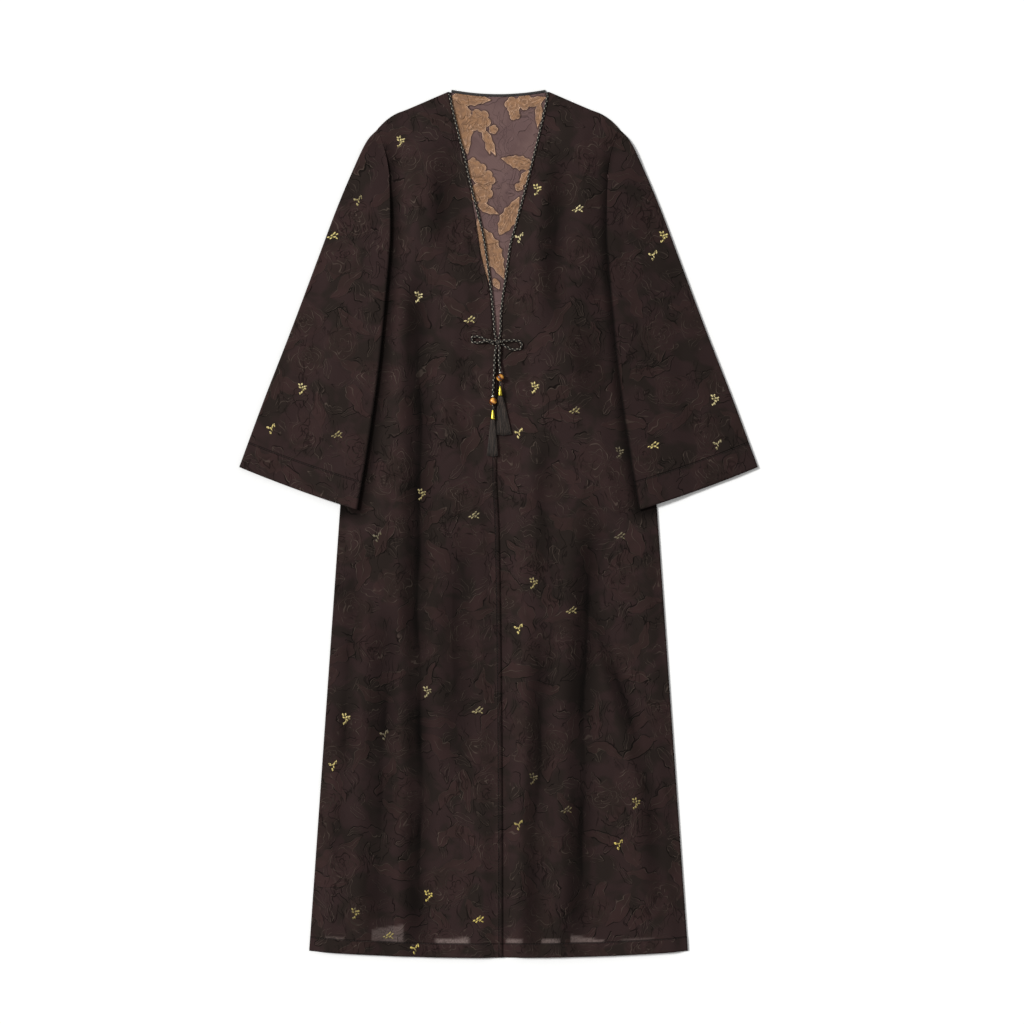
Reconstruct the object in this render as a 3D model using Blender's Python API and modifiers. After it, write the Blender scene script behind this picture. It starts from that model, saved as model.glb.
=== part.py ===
# An abaya laid flat on its back: open down the front, wide sleeves turned over the sides, a corded
# neckline, and a small bow whose two ends each carry two beads, a metal cap and a tassel.
# X runs across (the wearer's left is +X), Y runs from hem to collar, Z is up from the surface it lies on.

import math
from collections import namedtuple

import bmesh
import bpy
import numpy as np
from mathutils import Vector

MM = 0.001

# Cloth, in metres
WALL = 1.2 * MM
SEAM_GAP = 0.3 * MM

# Levels of the undersides, in metres: the back lies on the surface, the fronts on the back,
# and the front that laps over, the sleeves and the cords lie on the fronts
FRONT_LEVEL = WALL + SEAM_GAP
LAP_LEVEL = 2 * FRONT_LEVEL

# Body, in millimetres from the middle of the garment
ARMPIT_X = 226.4
ARMPIT_Y = 413.6
HEM_SIDE_X = 303.2
HEM_SIDE_Y = -684.0
HEM_MIDDLE_Y = -694.8
HEM_ROUNDING = 2.2
NECK_STEPS = 8
SHOULDER_STEPS = 12
ARMHOLE_STEPS = 14
HEM_STEPS = 14

Edge = namedtuple("Edge", "y x")
Shoulder = namedtuple("Shoulder", "x y")

ARMHOLE = [
    Edge(y=413.6, x=226.4),
    Edge(y=430.0, x=205.6),
    Edge(y=466.0, x=188.0),
    Edge(y=500.0, x=179.0),
    Edge(y=526.0, x=175.6),
    Edge(y=556.0, x=175.2),
    Edge(y=588.0, x=179.6),
    Edge(y=632.8, x=192.8),
]
SHOULDER = [
    Shoulder(x=78.2, y=692.2),
    Shoulder(x=93.6, y=685.6),
    Shoulder(x=149.6, y=661.6),
    Shoulder(x=165.6, y=655.2),
    Shoulder(x=181.6, y=644.0),
    Shoulder(x=192.8, y=632.8),
]

# Back neck binding, in millimetres
BINDING_HALF_LENGTH = 75.4
BINDING_MIDDLE_Y = 685.6
BINDING_RISE = 7.0
BINDING_RADIUS = 2.1
BINDING_FLATNESS = 0.62
BINDING_POINTS = 17

# Rows of a front, in millimetres: where each starts at the opening and ends at the armhole or side
FrontRow = namedtuple("FrontRow", "opening_y side_y")
FRONT_ROWS = [
    FrontRow(690.4, 632.8),
    FrontRow(655, 615),
    FrontRow(615, 597),
    FrontRow(575, 575),
    FrontRow(535, 552),
    FrontRow(495, 526),
    FrontRow(455, 494),
    FrontRow(415, 462),
    FrontRow(375, 435),
    FrontRow(335, 413.6),
    FrontRow(297, 370),
    FrontRow(276, 335),
    FrontRow(240, 285),
    FrontRow(190, 225),
    FrontRow(130, 160),
    FrontRow(70, 95),
    FrontRow(4, 14),
    FrontRow(-60, -45),
    FrontRow(-135, -125),
    FrontRow(-215, -205),
    FrontRow(-295, -285),
    FrontRow(-375, -365),
    FrontRow(-455, -445),
    FrontRow(-535, -525),
    FrontRow(-615, -605),
    FrontRow(HEM_MIDDLE_Y, HEM_SIDE_Y),
]
FRONT_COLUMNS = 22
SHOULDER_BOW_END_Y = 430.0
HEM_BOW_START_Y = -600.0

# Opening edge below the neckline, in millimetres: the wearer's right front laps over the left
LAPPING_EDGE = [
    Edge(y=-695.0, x=6.4),
    Edge(y=-410.0, x=5.6),
    Edge(y=-122.0, x=2.7),
    Edge(y=0.0, x=0.3),
    Edge(y=86.0, x=-3.4),
    Edge(y=200.0, x=-1.6),
    Edge(y=276.0, x=-1.8),
    Edge(y=297.0, x=-7.7),
]
LAPPED_EDGE = [
    Edge(y=-695.0, x=-6.4),
    Edge(y=-410.0, x=-7.0),
    Edge(y=-60.0, x=-12.0),
    Edge(y=70.0, x=-13.6),
    Edge(y=165.0, x=-9.0),
    Edge(y=230.0, x=-4.5),
    Edge(y=265.0, x=-0.8),
    Edge(y=283.0, x=1.8),
    Edge(y=297.0, x=3.9),
]
LAP_RISE_FROM = 34.0
LAP_RISE_TO = 12.0
LAP_TOP_Y = 297.0
LAP_FULL_Y = 276.0

# The right front's edge sags away from its cord in the upper neckline, in millimetres
SAG_TOP_Y = 600.0
SAG_DEEPEST_Y = 440.0
SAG_BOTTOM_Y = 329.0
SAG_DEPTH = 9.5

# Soft folds of the fronts, in millimetres: the cloth stands off the back and dips in troughs
PUFF = 5.5
Trough = namedtuple("Trough", "top_x top_y foot_x foot_y half_width depth")
TROUGHS = [
    Trough(top_x=-150, top_y=430, foot_x=-131, foot_y=-720, half_width=19, depth=0.95),
    Trough(top_x=-184, top_y=-150, foot_x=-197, foot_y=-720, half_width=22, depth=0.65),
    Trough(top_x=-93, top_y=630, foot_x=-92, foot_y=410, half_width=18, depth=0.75),
    Trough(top_x=-62, top_y=60, foot_x=-66, foot_y=-420, half_width=26, depth=0.35),
    Trough(top_x=-232, top_y=-30, foot_x=-262, foot_y=-560, half_width=18, depth=0.4),
    Trough(top_x=88, top_y=620, foot_x=92, foot_y=300, half_width=18, depth=0.7),
    Trough(top_x=150, top_y=60, foot_x=121, foot_y=-720, half_width=21, depth=0.9),
    Trough(top_x=68, top_y=-140, foot_x=52, foot_y=-720, half_width=17, depth=0.75),
    Trough(top_x=222, top_y=-230, foot_x=246, foot_y=-540, half_width=19, depth=0.6),
    Trough(top_x=140, top_y=430, foot_x=146, foot_y=150, half_width=24, depth=0.5),
]
TROUGH_FADE = 110.0
TROUGH_SPREAD = 1.7
TROUGH_SHARPNESS = 1.5
PUFF_FROM_OPENING = (8.0, 42.0)
PUFF_FROM_SIDE = (2.0, 30.0)
PUFF_FROM_SHOULDER = (0.0, 90.0)
PUFF_FROM_SLEEVE = (14.0, 44.0)
TIE_REST_MIDDLE = (-2.0, 205.0)
TIE_REST_RADII = (50.0, 125.0)
TIE_REST_FADE = 1.6

# Sleeve sections, in millimetres, from the armhole to the cuff: the fold along the top of the arm
# and the fold that lies over the side of the body
SleeveSection = namedtuple("SleeveSection", "outer_x outer_y inner_x inner_y")
SLEEVE = [
    SleeveSection(193.4, 632.4, 176.8, 554.4),
    SleeveSection(212.0, 610.4, 173.6, 513.0),
    SleeveSection(236.0, 559.2, 172.0, 465.0),
    SleeveSection(260.0, 501.6, 174.4, 420.0),
    SleeveSection(288.8, 424.8, 180.4, 352.0),
    SleeveSection(332.0, 309.6, 190.8, 245.0),
    SleeveSection(376.8, 194.4, 207.0, 128.0),
    SleeveSection(415.2, 90.4, 224.8, 21.6),
]
SLEEVE_SECTIONS = 13
SLEEVE_CROWDING = 1.15
SLEEVE_COLUMNS = 9
SLEEVE_FOLD_RADIUS = 3.0
SLEEVE_HEAD_GAP = 0.6
SLEEVE_HEAD_BLEND = 0.3
CUFF_BOW = 2.4
CUFF_BOW_FROM = 0.6
SLEEVE_CLEAR = 2.7
SLEEVE_CLEAR_FROM = 0.22
SLEEVE_ON_BODY = (26.0, 62.0)
SLEEVE_HEAD_RISE = (0.25, 0.75)
SLEEVE_HEAD_LENGTH = 0.25
SleeveFold = namedtuple("SleeveFold", "across half_width height")
SLEEVE_FOLDS_FROM = (0.1, 0.6)
SLEEVE_FOLDS = [
    SleeveFold(across=0.2, half_width=0.14, height=0.7),
    SleeveFold(across=0.52, half_width=0.17, height=1.0),
    SleeveFold(across=0.84, half_width=0.12, height=0.8),
]

# Braided cord of the neckline and the bow: radius in metres, routes in millimetres
CORD_RADIUS = 1.7 * MM
CORD_STEP = 9.5 * MM
BOW_CORD_STEP = 4.6 * MM
ROUTE_SAMPLES = 400
NECK_CORD_OFFSET = 2.5
NECK_CORD_RIGHT = [
    (-78.8, 687.6, 3.3),
    (-71.2, 653.6, 3.3),
    (-61.8, 615.2, 3.3),
    (-53.0, 581.6, 3.3),
    (-46.2, 549.6, 3.3),
    (-37.6, 514.4, 3.3),
    (-31.0, 488.8, 3.3),
    (-24.9, 463.2, 3.3),
    (-20.0, 434.4, 3.3),
    (-15.8, 404.0, 3.3),
    (-12.2, 375.2, 3.3),
    (-7.4, 325.6, 3.3),
    (-5.4, 301.0, 3.9),
    (-4.1, 295.2, 5.0),
]
NECK_CORD_LEFT = [
    (78.8, 687.6, 3.3),
    (74.2, 663.2, 3.3),
    (67.8, 634.4, 3.3),
    (60.4, 604.0, 3.3),
    (49.2, 559.2, 3.3),
    (37.4, 514.4, 3.3),
    (24.8, 468.0, 3.3),
    (18.9, 445.6, 3.3),
    (14.9, 418.4, 3.3),
    (11.2, 391.2, 3.3),
    (7.4, 367.2, 3.3),
    (4.2, 338.4, 3.3),
    (2.2, 301.0, 3.9),
    (1.3, 295.6, 5.0),
]
KNOT_CENTRE = (-0.8, 289.6, 8.2)
KNOT_RADII = (5.2, 4.4, 3.5)
BOW_LOOP_RIGHT = [
    (-6.9, 290.8, 9.8),
    (-12.0, 292.4, 9.9),
    (-17.6, 292.2, 10.3),
    (-23.6, 291.0, 8.4),
    (-31.0, 289.6, 6.4),
    (-38.0, 289.4, 6.3),
    (-42.6, 291.8, 6.3),
    (-42.8, 296.2, 6.3),
    (-38.4, 299.2, 6.3),
    (-31.4, 298.6, 6.3),
    (-24.4, 296.0, 6.3),
    (-17.8, 292.6, 6.3),
    (-12.0, 288.6, 6.3),
    (-6.9, 287.8, 6.9),
]
BOW_LOOP_LEFT = [
    (5.2, 291.0, 9.8),
    (9.8, 292.4, 9.0),
    (16.6, 292.4, 7.4),
    (24.8, 292.9, 5.6),
    (32.4, 291.8, 4.9),
    (37.0, 287.6, 4.8),
    (36.4, 281.8, 4.8),
    (31.4, 278.4, 4.8),
    (24.8, 278.0, 4.8),
    (17.6, 280.2, 5.2),
    (10.8, 283.9, 6.0),
    (5.0, 287.2, 6.4),
]
TIE_END_RIGHT = [
    (-3.6, 284.9, 7.0),
    (-4.9, 276.0, 6.3),
    (-6.1, 256.0, 6.3),
    (-7.2, 234.4, 6.3),
    (-8.2, 218.0, 7.0),
    (-8.9, 210.0, 9.2),
    (-9.0, 205.9, 10.1),
]
TIE_END_LEFT = [
    (1.5, 284.9, 7.2),
    (1.6, 276.0, 6.6),
    (0.9, 264.8, 6.4),
    (1.4, 255.0, 6.9),
    (2.4, 248.6, 8.2),
    (2.7, 243.8, 8.9),
]

# Beads, caps and tassels of the two ends, in millimetres; the parting is a share of the head's half
ROUND_SEGMENTS = 14
SMALL_SEGMENTS = 10
SPACER_RADIUS = 2.15
STONE_RADIUS = 5.75
CAP_STEM_RADIUS = 1.2
CAP_STEM_LENGTH = 8.0
CAP_TOP_RADIUS = 1.7
CAP_BELL_RADIUS = 2.8
CAP_FOOT_RADIUS = 3.4
CAP_LENGTH = 14.5
CAP_SHOULDER = 0.3
CAP_BELL_SHARE = 0.45
CAP_RIM = 0.8
TASSEL_HEAD = (6.4, 5.0, 4.0)
TASSEL_COLUMNS = 10
TASSEL_LAYERS = 3
STRAND_PARTING = 0.035
STRAND_THICKNESS = 0.8
STRAND_FILL = 0.62
STRAND_UNEVENNESS = 1.6
STRAND_SIDE_RISE = 1.5
STRAND_LAYER_PITCH = 1.3
Hanging = namedtuple("Hanging", "x spacer_y bead_z stem_z head_z rest_z lean spread tassel_foot_y")
HANGING = {
    "right": Hanging(-9.0, 203.4, 10.3, 9.4, 8.3, 4.7, -0.6, 18.0, 105.6),
    "left": Hanging(2.7, 241.3, 9.1, 8.4, 7.2, 3.2, 6.2, 22.5, 140.4),
}


# Numbers

def smooth(low, high, value):
    """0 up to low, 1 from high on, and an even rise between."""
    share = min(max((value - low) / (high - low), 0.0), 1.0)
    return share * share * (3 - 2 * share)


def curve_value(keys, values, at):
    """The value at a place on the smooth curve through the rows, whose keys rise; it never overshoots."""
    keys = np.asarray(keys, float)
    values = np.asarray(values, float)
    slopes = np.gradient(values, keys, axis=0)
    steps = (np.diff(values, axis=0).T / np.diff(keys)).T
    steepest = 3 * np.minimum(abs(steps[:-1]), abs(steps[1:])) * (steps[:-1] * steps[1:] > 0)
    slopes[1:-1] = np.clip(slopes[1:-1], -steepest, steepest)
    at = min(max(at, keys[0]), keys[-1])
    row = min(int(np.searchsorted(keys, at, side="right")) - 1, len(keys) - 2)
    span = keys[row + 1] - keys[row]
    t = (at - keys[row]) / span
    rise = values[row + 1] - values[row]
    bend = t * (t - 1) * ((t - 1) * (slopes[row] * span - rise) + t * (slopes[row + 1] * span - rise))
    return values[row] + t * rise + bend


def edge_x(rows, y):
    return float(curve_value([row.y for row in rows], [row.x for row in rows], y))


def route_x(route, y):
    """Where a cord's route crosses this height; the route runs downwards."""
    upwards = route[::-1]
    return float(curve_value([point[1] for point in upwards], [point[0] for point in upwards], y))


# Outline of the body, in millimetres

def side_x(y):
    """Half width at the armhole or the side seam."""
    if y >= ARMPIT_Y:
        return edge_x(ARMHOLE, y)
    down = (ARMPIT_Y - y) / (ARMPIT_Y - HEM_SIDE_Y)
    return ARMPIT_X + down * (HEM_SIDE_X - ARMPIT_X)


def shoulder_y(x):
    rows = [(row.x, row.y) for row in SHOULDER]
    return float(curve_value([row[0] for row in rows], [row[1] for row in rows], abs(x)))


def hem_y(x):
    rise = min(abs(x) / HEM_SIDE_X, 1.0) ** HEM_ROUNDING
    return HEM_MIDDLE_Y + (HEM_SIDE_Y - HEM_MIDDLE_Y) * rise


def binding_y(x):
    return BINDING_MIDDLE_Y + BINDING_RISE * (x / BINDING_HALF_LENGTH) ** 2


def sag(y):
    """How far the right front's neck edge stands off its cord."""
    if y > SAG_DEEPEST_Y:
        return SAG_DEPTH * (1 - smooth(SAG_DEEPEST_Y, SAG_TOP_Y, y))
    return SAG_DEPTH * smooth(SAG_BOTTOM_Y, SAG_DEEPEST_Y, y)


def opening_x(side, y):
    """The front's edge along the neckline and the opening; side is -1 for the wearer's right."""
    if side < 0:
        if y > LAP_TOP_Y:
            return route_x(NECK_CORD_RIGHT, y) - NECK_CORD_OFFSET - sag(y)
        return edge_x(LAPPING_EDGE, y)
    if y > LAP_TOP_Y:
        return route_x(NECK_CORD_LEFT, y) + NECK_CORD_OFFSET
    return edge_x(LAPPED_EDGE, y)


# Heights, in millimetres

def sleeve_inner_x(y):
    keys = [row.inner_y for row in SLEEVE][::-1]
    values = [row.inner_x for row in SLEEVE][::-1]
    return float(curve_value(keys, values, y))


def off_sleeve(x, y):
    """Distance from the sleeve that lies over the side; below zero under it."""
    cuff = SLEEVE[-1]
    if y >= cuff.inner_y:
        return sleeve_inner_x(y) - abs(x)
    if abs(x) <= cuff.inner_x:
        return math.hypot(cuff.inner_x - abs(x), cuff.inner_y - y)
    return cuff.inner_y - y


def trough_share(trough, x, y):
    """How much of the trough's depth is left at this place, from 0 to 1."""
    along = (trough.top_y - y) / (trough.top_y - trough.foot_y)
    middle = trough.top_x + along * (trough.foot_x - trough.top_x)
    ends = smooth(0, TROUGH_FADE, trough.top_y - y) * smooth(0, TROUGH_FADE, y - trough.foot_y)
    across = min(abs(x - middle) / (trough.half_width * TROUGH_SPREAD), 1.0)
    return trough.depth * ends * (0.5 + 0.5 * math.cos(math.pi * across)) ** TROUGH_SHARPNESS


def visible_opening_x(side, y):
    """Where the front comes out at the opening; the left one does so at the edge that laps over it."""
    if side < 0 or y > LAP_TOP_Y:
        return opening_x(side, y)
    return max(edge_x(LAPPED_EDGE, y), edge_x(LAPPING_EDGE, y))


def puff(side, x, y):
    """How high a front stands off the layer below it, zero along every seam and under the bow."""
    tie_x = (x - TIE_REST_MIDDLE[0]) / TIE_REST_RADII[0]
    tie_y = (y - TIE_REST_MIDDLE[1]) / TIE_REST_RADII[1]
    height = PUFF
    height *= smooth(*PUFF_FROM_OPENING, side * (x - visible_opening_x(side, y)))
    height *= smooth(*PUFF_FROM_SIDE, side_x(y) - abs(x))
    height *= smooth(*PUFF_FROM_SHOULDER, shoulder_y(x) - y)
    height *= smooth(*PUFF_FROM_SLEEVE, off_sleeve(x, y))
    height *= smooth(1.0, TIE_REST_FADE, math.hypot(tie_x, tie_y))
    for trough in TROUGHS:
        height *= 1 - trough_share(trough, x, y)
    return height


def lap_rise(side, x, y):
    """The wearer's right front rises to lie on the left front's edge."""
    if side > 0:
        return 0.0
    under = edge_x(LAPPED_EDGE, min(y, LAP_TOP_Y))
    rise = smooth(under - LAP_RISE_FROM, under - LAP_RISE_TO, x)
    rise *= 1 - smooth(LAP_FULL_Y, LAP_TOP_Y, y)
    return rise * (LAP_LEVEL - FRONT_LEVEL) / MM


# Mesh helpers

def material(name, colour, roughness, metallic=0.0):
    """A plain finish; the colour is sRGB, turned linear here."""
    made = bpy.data.materials.new(name)
    made.use_nodes = True
    shader = made.node_tree.nodes["Principled BSDF"]
    linear = [((c + 0.055) / 1.055) ** 2.4 if c > 0.04045 else c / 12.92 for c in colour]
    shader.inputs["Base Color"].default_value = (*linear, 1.0)
    shader.inputs["Roughness"].default_value = roughness
    shader.inputs["Metallic"].default_value = metallic
    made.diffuse_color = (*linear, 1.0)
    return made


def add_object(name, data, finish):
    data.materials.append(finish)
    made = bpy.data.objects.new(name, data)
    abaya.objects.link(made)
    return made


def add_mesh(name, mesh, finish):
    data = bpy.data.meshes.new(name)
    mesh.to_mesh(data)
    mesh.free()
    data.shade_smooth()
    return add_object(name, data, finish)


def grid_faces(mesh, rows, turned, closed=False):
    """Quads between rows of vertices; turned flips them, closed joins each row's ends."""
    count = len(rows[0])
    for upper, lower in zip(rows, rows[1:]):
        for i in range(count if closed else count - 1):
            corners = [upper[i], lower[i], lower[(i + 1) % count], upper[(i + 1) % count]]
            mesh.faces.new(corners[::-1] if turned else corners)


def resampled(route, step):
    """Points in metres, evenly spaced on a smooth curve through a route in millimetres."""
    route = np.asarray(route, float) * MM
    keys = np.concatenate([[0], np.cumsum(np.linalg.norm(np.diff(route, axis=0), axis=1))])
    fine = np.array([curve_value(keys, route, at) for at in np.linspace(0, keys[-1], ROUTE_SAMPLES)])
    along = np.concatenate([[0], np.cumsum(np.linalg.norm(np.diff(fine, axis=0), axis=1))])
    places = np.linspace(0, along[-1], max(int(round(along[-1] / step)), 4) + 1)
    return np.stack([np.interp(places, along, fine[:, axis]) for axis in range(3)], axis=1)


def tube(name, points, radius, finish):
    """A round tube along a polyline, as a curve with a bevel."""
    curve = bpy.data.curves.new(name, "CURVE")
    curve.dimensions = "3D"
    curve.bevel_depth = radius
    curve.bevel_resolution = 2
    curve.use_fill_caps = True
    spline = curve.splines.new("POLY")
    spline.points.add(len(points) - 1)
    for place, point in zip(spline.points, points):
        place.co = (*point, 1.0)
    return add_object(name, curve, finish)


# Body panels

def body_outline():
    """The back's outline in millimetres, round from the middle of its neck."""
    half = []
    for x in np.linspace(0, BINDING_HALF_LENGTH + BINDING_RADIUS, NECK_STEPS):
        half.append((x, binding_y(x) - BINDING_RADIUS - SEAM_GAP / MM))
    for x in np.linspace(SHOULDER[0].x, SHOULDER[-1].x, SHOULDER_STEPS):
        half.append((x, shoulder_y(x)))
    for y in np.linspace(SHOULDER[-1].y, ARMPIT_Y, ARMHOLE_STEPS)[1:]:
        half.append((side_x(y), y))
    for x in np.linspace(HEM_SIDE_X, 0, HEM_STEPS):
        half.append((x, hem_y(x)))
    return half + [(-x, y) for x, y in half[-2:0:-1]]


def build_back(finish):
    curve = bpy.data.curves.new("back_panel", "CURVE")
    curve.dimensions = "2D"
    curve.fill_mode = "BOTH"
    curve.extrude = WALL / 2
    outline = body_outline()
    spline = curve.splines.new("POLY")
    spline.points.add(len(outline) - 1)
    for place, (x, y) in zip(spline.points, outline):
        place.co = (x * MM, y * MM, 0.0, 1.0)
    spline.use_cyclic_u = True
    made = add_object("back_panel", curve, finish)
    made.location.z = WALL / 2
    return made


def front_row(side, row):
    """One row of a front's underside, from the opening to the armhole or side seam."""
    start = opening_x(side, row.opening_y)
    end = side * side_x(row.side_y)
    shoulder_share = smooth(SHOULDER_BOW_END_Y, FRONT_ROWS[0].opening_y, row.opening_y)
    hem_share = 1 - smooth(HEM_MIDDLE_Y, HEM_BOW_START_Y, row.opening_y)
    first = FRONT_ROWS[0]
    chord_start = opening_x(side, first.opening_y)
    points = []
    for share in np.linspace(0, 1, FRONT_COLUMNS + 1):
        x = start + share * (end - start)
        y = row.opening_y + share * (row.side_y - row.opening_y)
        top_x = chord_start + share * (side * side_x(first.side_y) - chord_start)
        top_chord = first.opening_y + share * (first.side_y - first.opening_y)
        y += shoulder_share * (shoulder_y(top_x) - top_chord)
        hem_chord = HEM_MIDDLE_Y + share * (HEM_SIDE_Y - HEM_MIDDLE_Y)
        y += hem_share * (hem_y(x) - hem_chord)
        z = FRONT_LEVEL / MM + puff(side, x, y) + lap_rise(side, x, y)
        points.append(Vector((x, y, z)) * MM)
    return points


def build_front(name, side, finish):
    mesh = bmesh.new()
    rows = [[mesh.verts.new(point) for point in front_row(side, row)] for row in FRONT_ROWS]
    grid_faces(mesh, rows, turned=side < 0)
    made = add_mesh(name, mesh, finish)
    wall = made.modifiers.new("Wall", "SOLIDIFY")
    wall.thickness = WALL
    wall.offset = 1.0
    wall.use_even_offset = True
    return made


# Sleeves

def sleeve_section(share):
    """The section at this share of the way from armhole to cuff, in millimetres."""
    keys = np.linspace(0, 1, len(SLEEVE))
    return SleeveSection(*curve_value(keys, [tuple(row) for row in SLEEVE], share))


def sleeve_place(share, place, outer, along, width):
    """A point of the section seen from above: the head follows the armhole and the cuff bows down."""
    across = place / width
    arch = 4 * across * (1 - across)
    outward = Vector((-along.y, along.x))
    flat = outer + along * place + outward * CUFF_BOW * smooth(CUFF_BOW_FROM, 1.0, share) * arch
    head = SLEEVE[0]
    head_x = head.outer_x + across * (head.inner_x - head.outer_x)
    head_y = head.outer_y + across * (head.inner_y - head.outer_y)
    to_armhole = side_x(min(head_y, SHOULDER[-1].y)) + SLEEVE_HEAD_GAP - head_x
    flat.x += to_armhole * (1 - smooth(0, SLEEVE_HEAD_BLEND, share))
    return flat


def sleeve_rest(share, across, x, y):
    """Height of the sleeve's underside: on the surface, or on the front where it lies over the body."""
    on_body = 1 - smooth(*SLEEVE_ON_BODY, x - side_x(min(y, SHOULDER[-1].y)))
    near_head = 1 - smooth(0, SLEEVE_HEAD_LENGTH, share)
    beside_body = 1 - smooth(*SLEEVE_HEAD_RISE, across)
    return LAP_LEVEL / MM * on_body * (1 - near_head * beside_body)


def sleeve_clear(share, across):
    """Clear height inside the sleeve, with the folds that run down it."""
    height = SLEEVE_CLEAR * smooth(0, SLEEVE_CLEAR_FROM, share)
    for fold in SLEEVE_FOLDS:
        off = min(abs(across - fold.across) / fold.half_width, 1.0)
        height += fold.height * smooth(*SLEEVE_FOLDS_FROM, share) * (0.5 + 0.5 * math.cos(math.pi * off))
    return max(height, SEAM_GAP / MM)


def sleeve_ring(side, share, inside):
    """One closed ring of the sleeve's outer or inner skin, in metres."""
    section = sleeve_section(share)
    outer = Vector((section.outer_x, section.outer_y))
    inner = Vector((section.inner_x, section.inner_y))
    width = (inner - outer).length
    wall = WALL / MM
    inset = wall if inside else 0.0
    radius = SLEEVE_FOLD_RADIUS - inset
    near = [inset + 0.25 * radius, inset + radius]
    middle = np.linspace(0, width, SLEEVE_COLUMNS + 2)[1:-1]
    places = [inset, *near, *middle, *[width - place for place in near[::-1]], width - inset]
    along = (inner - outer).normalized()
    upper = []
    lower = []
    for place in places:
        across = place / width
        flat = sleeve_place(share, place, outer, along, width)
        rest = sleeve_rest(share, across, flat.x, flat.y)
        half = sleeve_clear(share, across) / 2
        middle_z = rest + wall + half
        edge = min(place - inset, width - inset - place)
        roundness = math.sqrt(1 - (1 - min(edge / radius, 1.0)) ** 2)
        reach = (half if inside else half + wall) * roundness
        upper.append(Vector((side * flat.x, flat.y, middle_z + reach)) * MM)
        lower.append(Vector((side * flat.x, flat.y, middle_z - reach)) * MM)
    return upper + lower[-2:0:-1]


def build_sleeve(name, side, finish):
    mesh = bmesh.new()
    shares = np.linspace(0, 1, SLEEVE_SECTIONS) ** SLEEVE_CROWDING
    skins = []
    for inside in (False, True):
        rings = []
        for share in shares:
            rings.append([mesh.verts.new(point) for point in sleeve_ring(side, share, inside)])
        grid_faces(mesh, rings, turned=inside != (side > 0), closed=True)
        skins.append(rings)
    outer, inner = skins
    grid_faces(mesh, [inner[0], outer[0]], turned=side > 0, closed=True)
    grid_faces(mesh, [outer[-1], inner[-1]], turned=side > 0, closed=True)
    return add_mesh(name, mesh, finish)


# Neckline, bow and hanging ends

def build_binding(finish):
    places = np.linspace(-BINDING_HALF_LENGTH, BINDING_HALF_LENGTH, BINDING_POINTS)
    points = [Vector((x, binding_y(x), 0.0)) * MM for x in places]
    made = tube("neck_binding", points, BINDING_RADIUS * MM, finish)
    made.scale.z = BINDING_FLATNESS
    made.location.z = BINDING_RADIUS * BINDING_FLATNESS * MM
    return made


def build_ball(name, centre, radii, finish, segments):
    mesh = bmesh.new()
    bmesh.ops.create_uvsphere(mesh, u_segments=segments, v_segments=segments // 2 + 1, radius=1.0)
    bmesh.ops.scale(mesh, vec=Vector(radii) * MM, verts=mesh.verts)
    made = add_mesh(name, mesh, finish)
    made.location = Vector(centre) * MM
    return made


def build_cap(name, hanging, top_y, finish):
    """A stem and a bell turned round one axis, lying along the cord."""
    foot = CAP_STEM_LENGTH + CAP_LENGTH
    profile = [
        (0.0, 0.0),
        (CAP_STEM_RADIUS, 0.0),
        (CAP_STEM_RADIUS, CAP_STEM_LENGTH),
        (CAP_TOP_RADIUS, CAP_STEM_LENGTH + CAP_SHOULDER),
        (CAP_BELL_RADIUS, CAP_STEM_LENGTH + CAP_BELL_SHARE * CAP_LENGTH),
        (CAP_FOOT_RADIUS, foot - CAP_RIM),
        (CAP_FOOT_RADIUS, foot),
        (0.0, foot),
    ]
    data = bpy.data.meshes.new(name)
    mesh = bmesh.new()
    verts = [mesh.verts.new((radius * MM, 0.0, -down * MM)) for radius, down in profile]
    for first, second in zip(verts, verts[1:]):
        mesh.edges.new((first, second))
    mesh.to_mesh(data)
    mesh.free()
    made = add_object(name, data, finish)
    turn = made.modifiers.new("Turned", "SCREW")
    turn.steps = ROUND_SEGMENTS
    turn.render_steps = ROUND_SEGMENTS
    turn.use_merge_vertices = True
    turn.merge_threshold = 0.00001
    made.location = Vector((hanging.x, top_y, hanging.stem_z)) * MM
    made.rotation_euler.x = math.radians(-90)
    return made


def strand_tip(hanging, cell, index, u, v):
    """A corner of a strand's end, in millimetres; u and v are its place in the head, cell the strand's own."""
    width = hanging.spread / TASSEL_COLUMNS * STRAND_FILL
    unevenness = STRAND_UNEVENNESS * math.sin(2.4 * index)
    layer = (cell.y + 1) / 2 * TASSEL_LAYERS - 0.5
    x = hanging.x + hanging.lean + cell.x * hanging.spread / 2 + math.copysign(width / 2, u - cell.x)
    y = hanging.tassel_foot_y + unevenness + abs(cell.x) * STRAND_SIDE_RISE
    z = hanging.rest_z + (layer * STRAND_LAYER_PITCH + 0.5) * STRAND_THICKNESS
    return Vector((x, y, z + math.copysign(STRAND_THICKNESS / 2, v - cell.y)))


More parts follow.
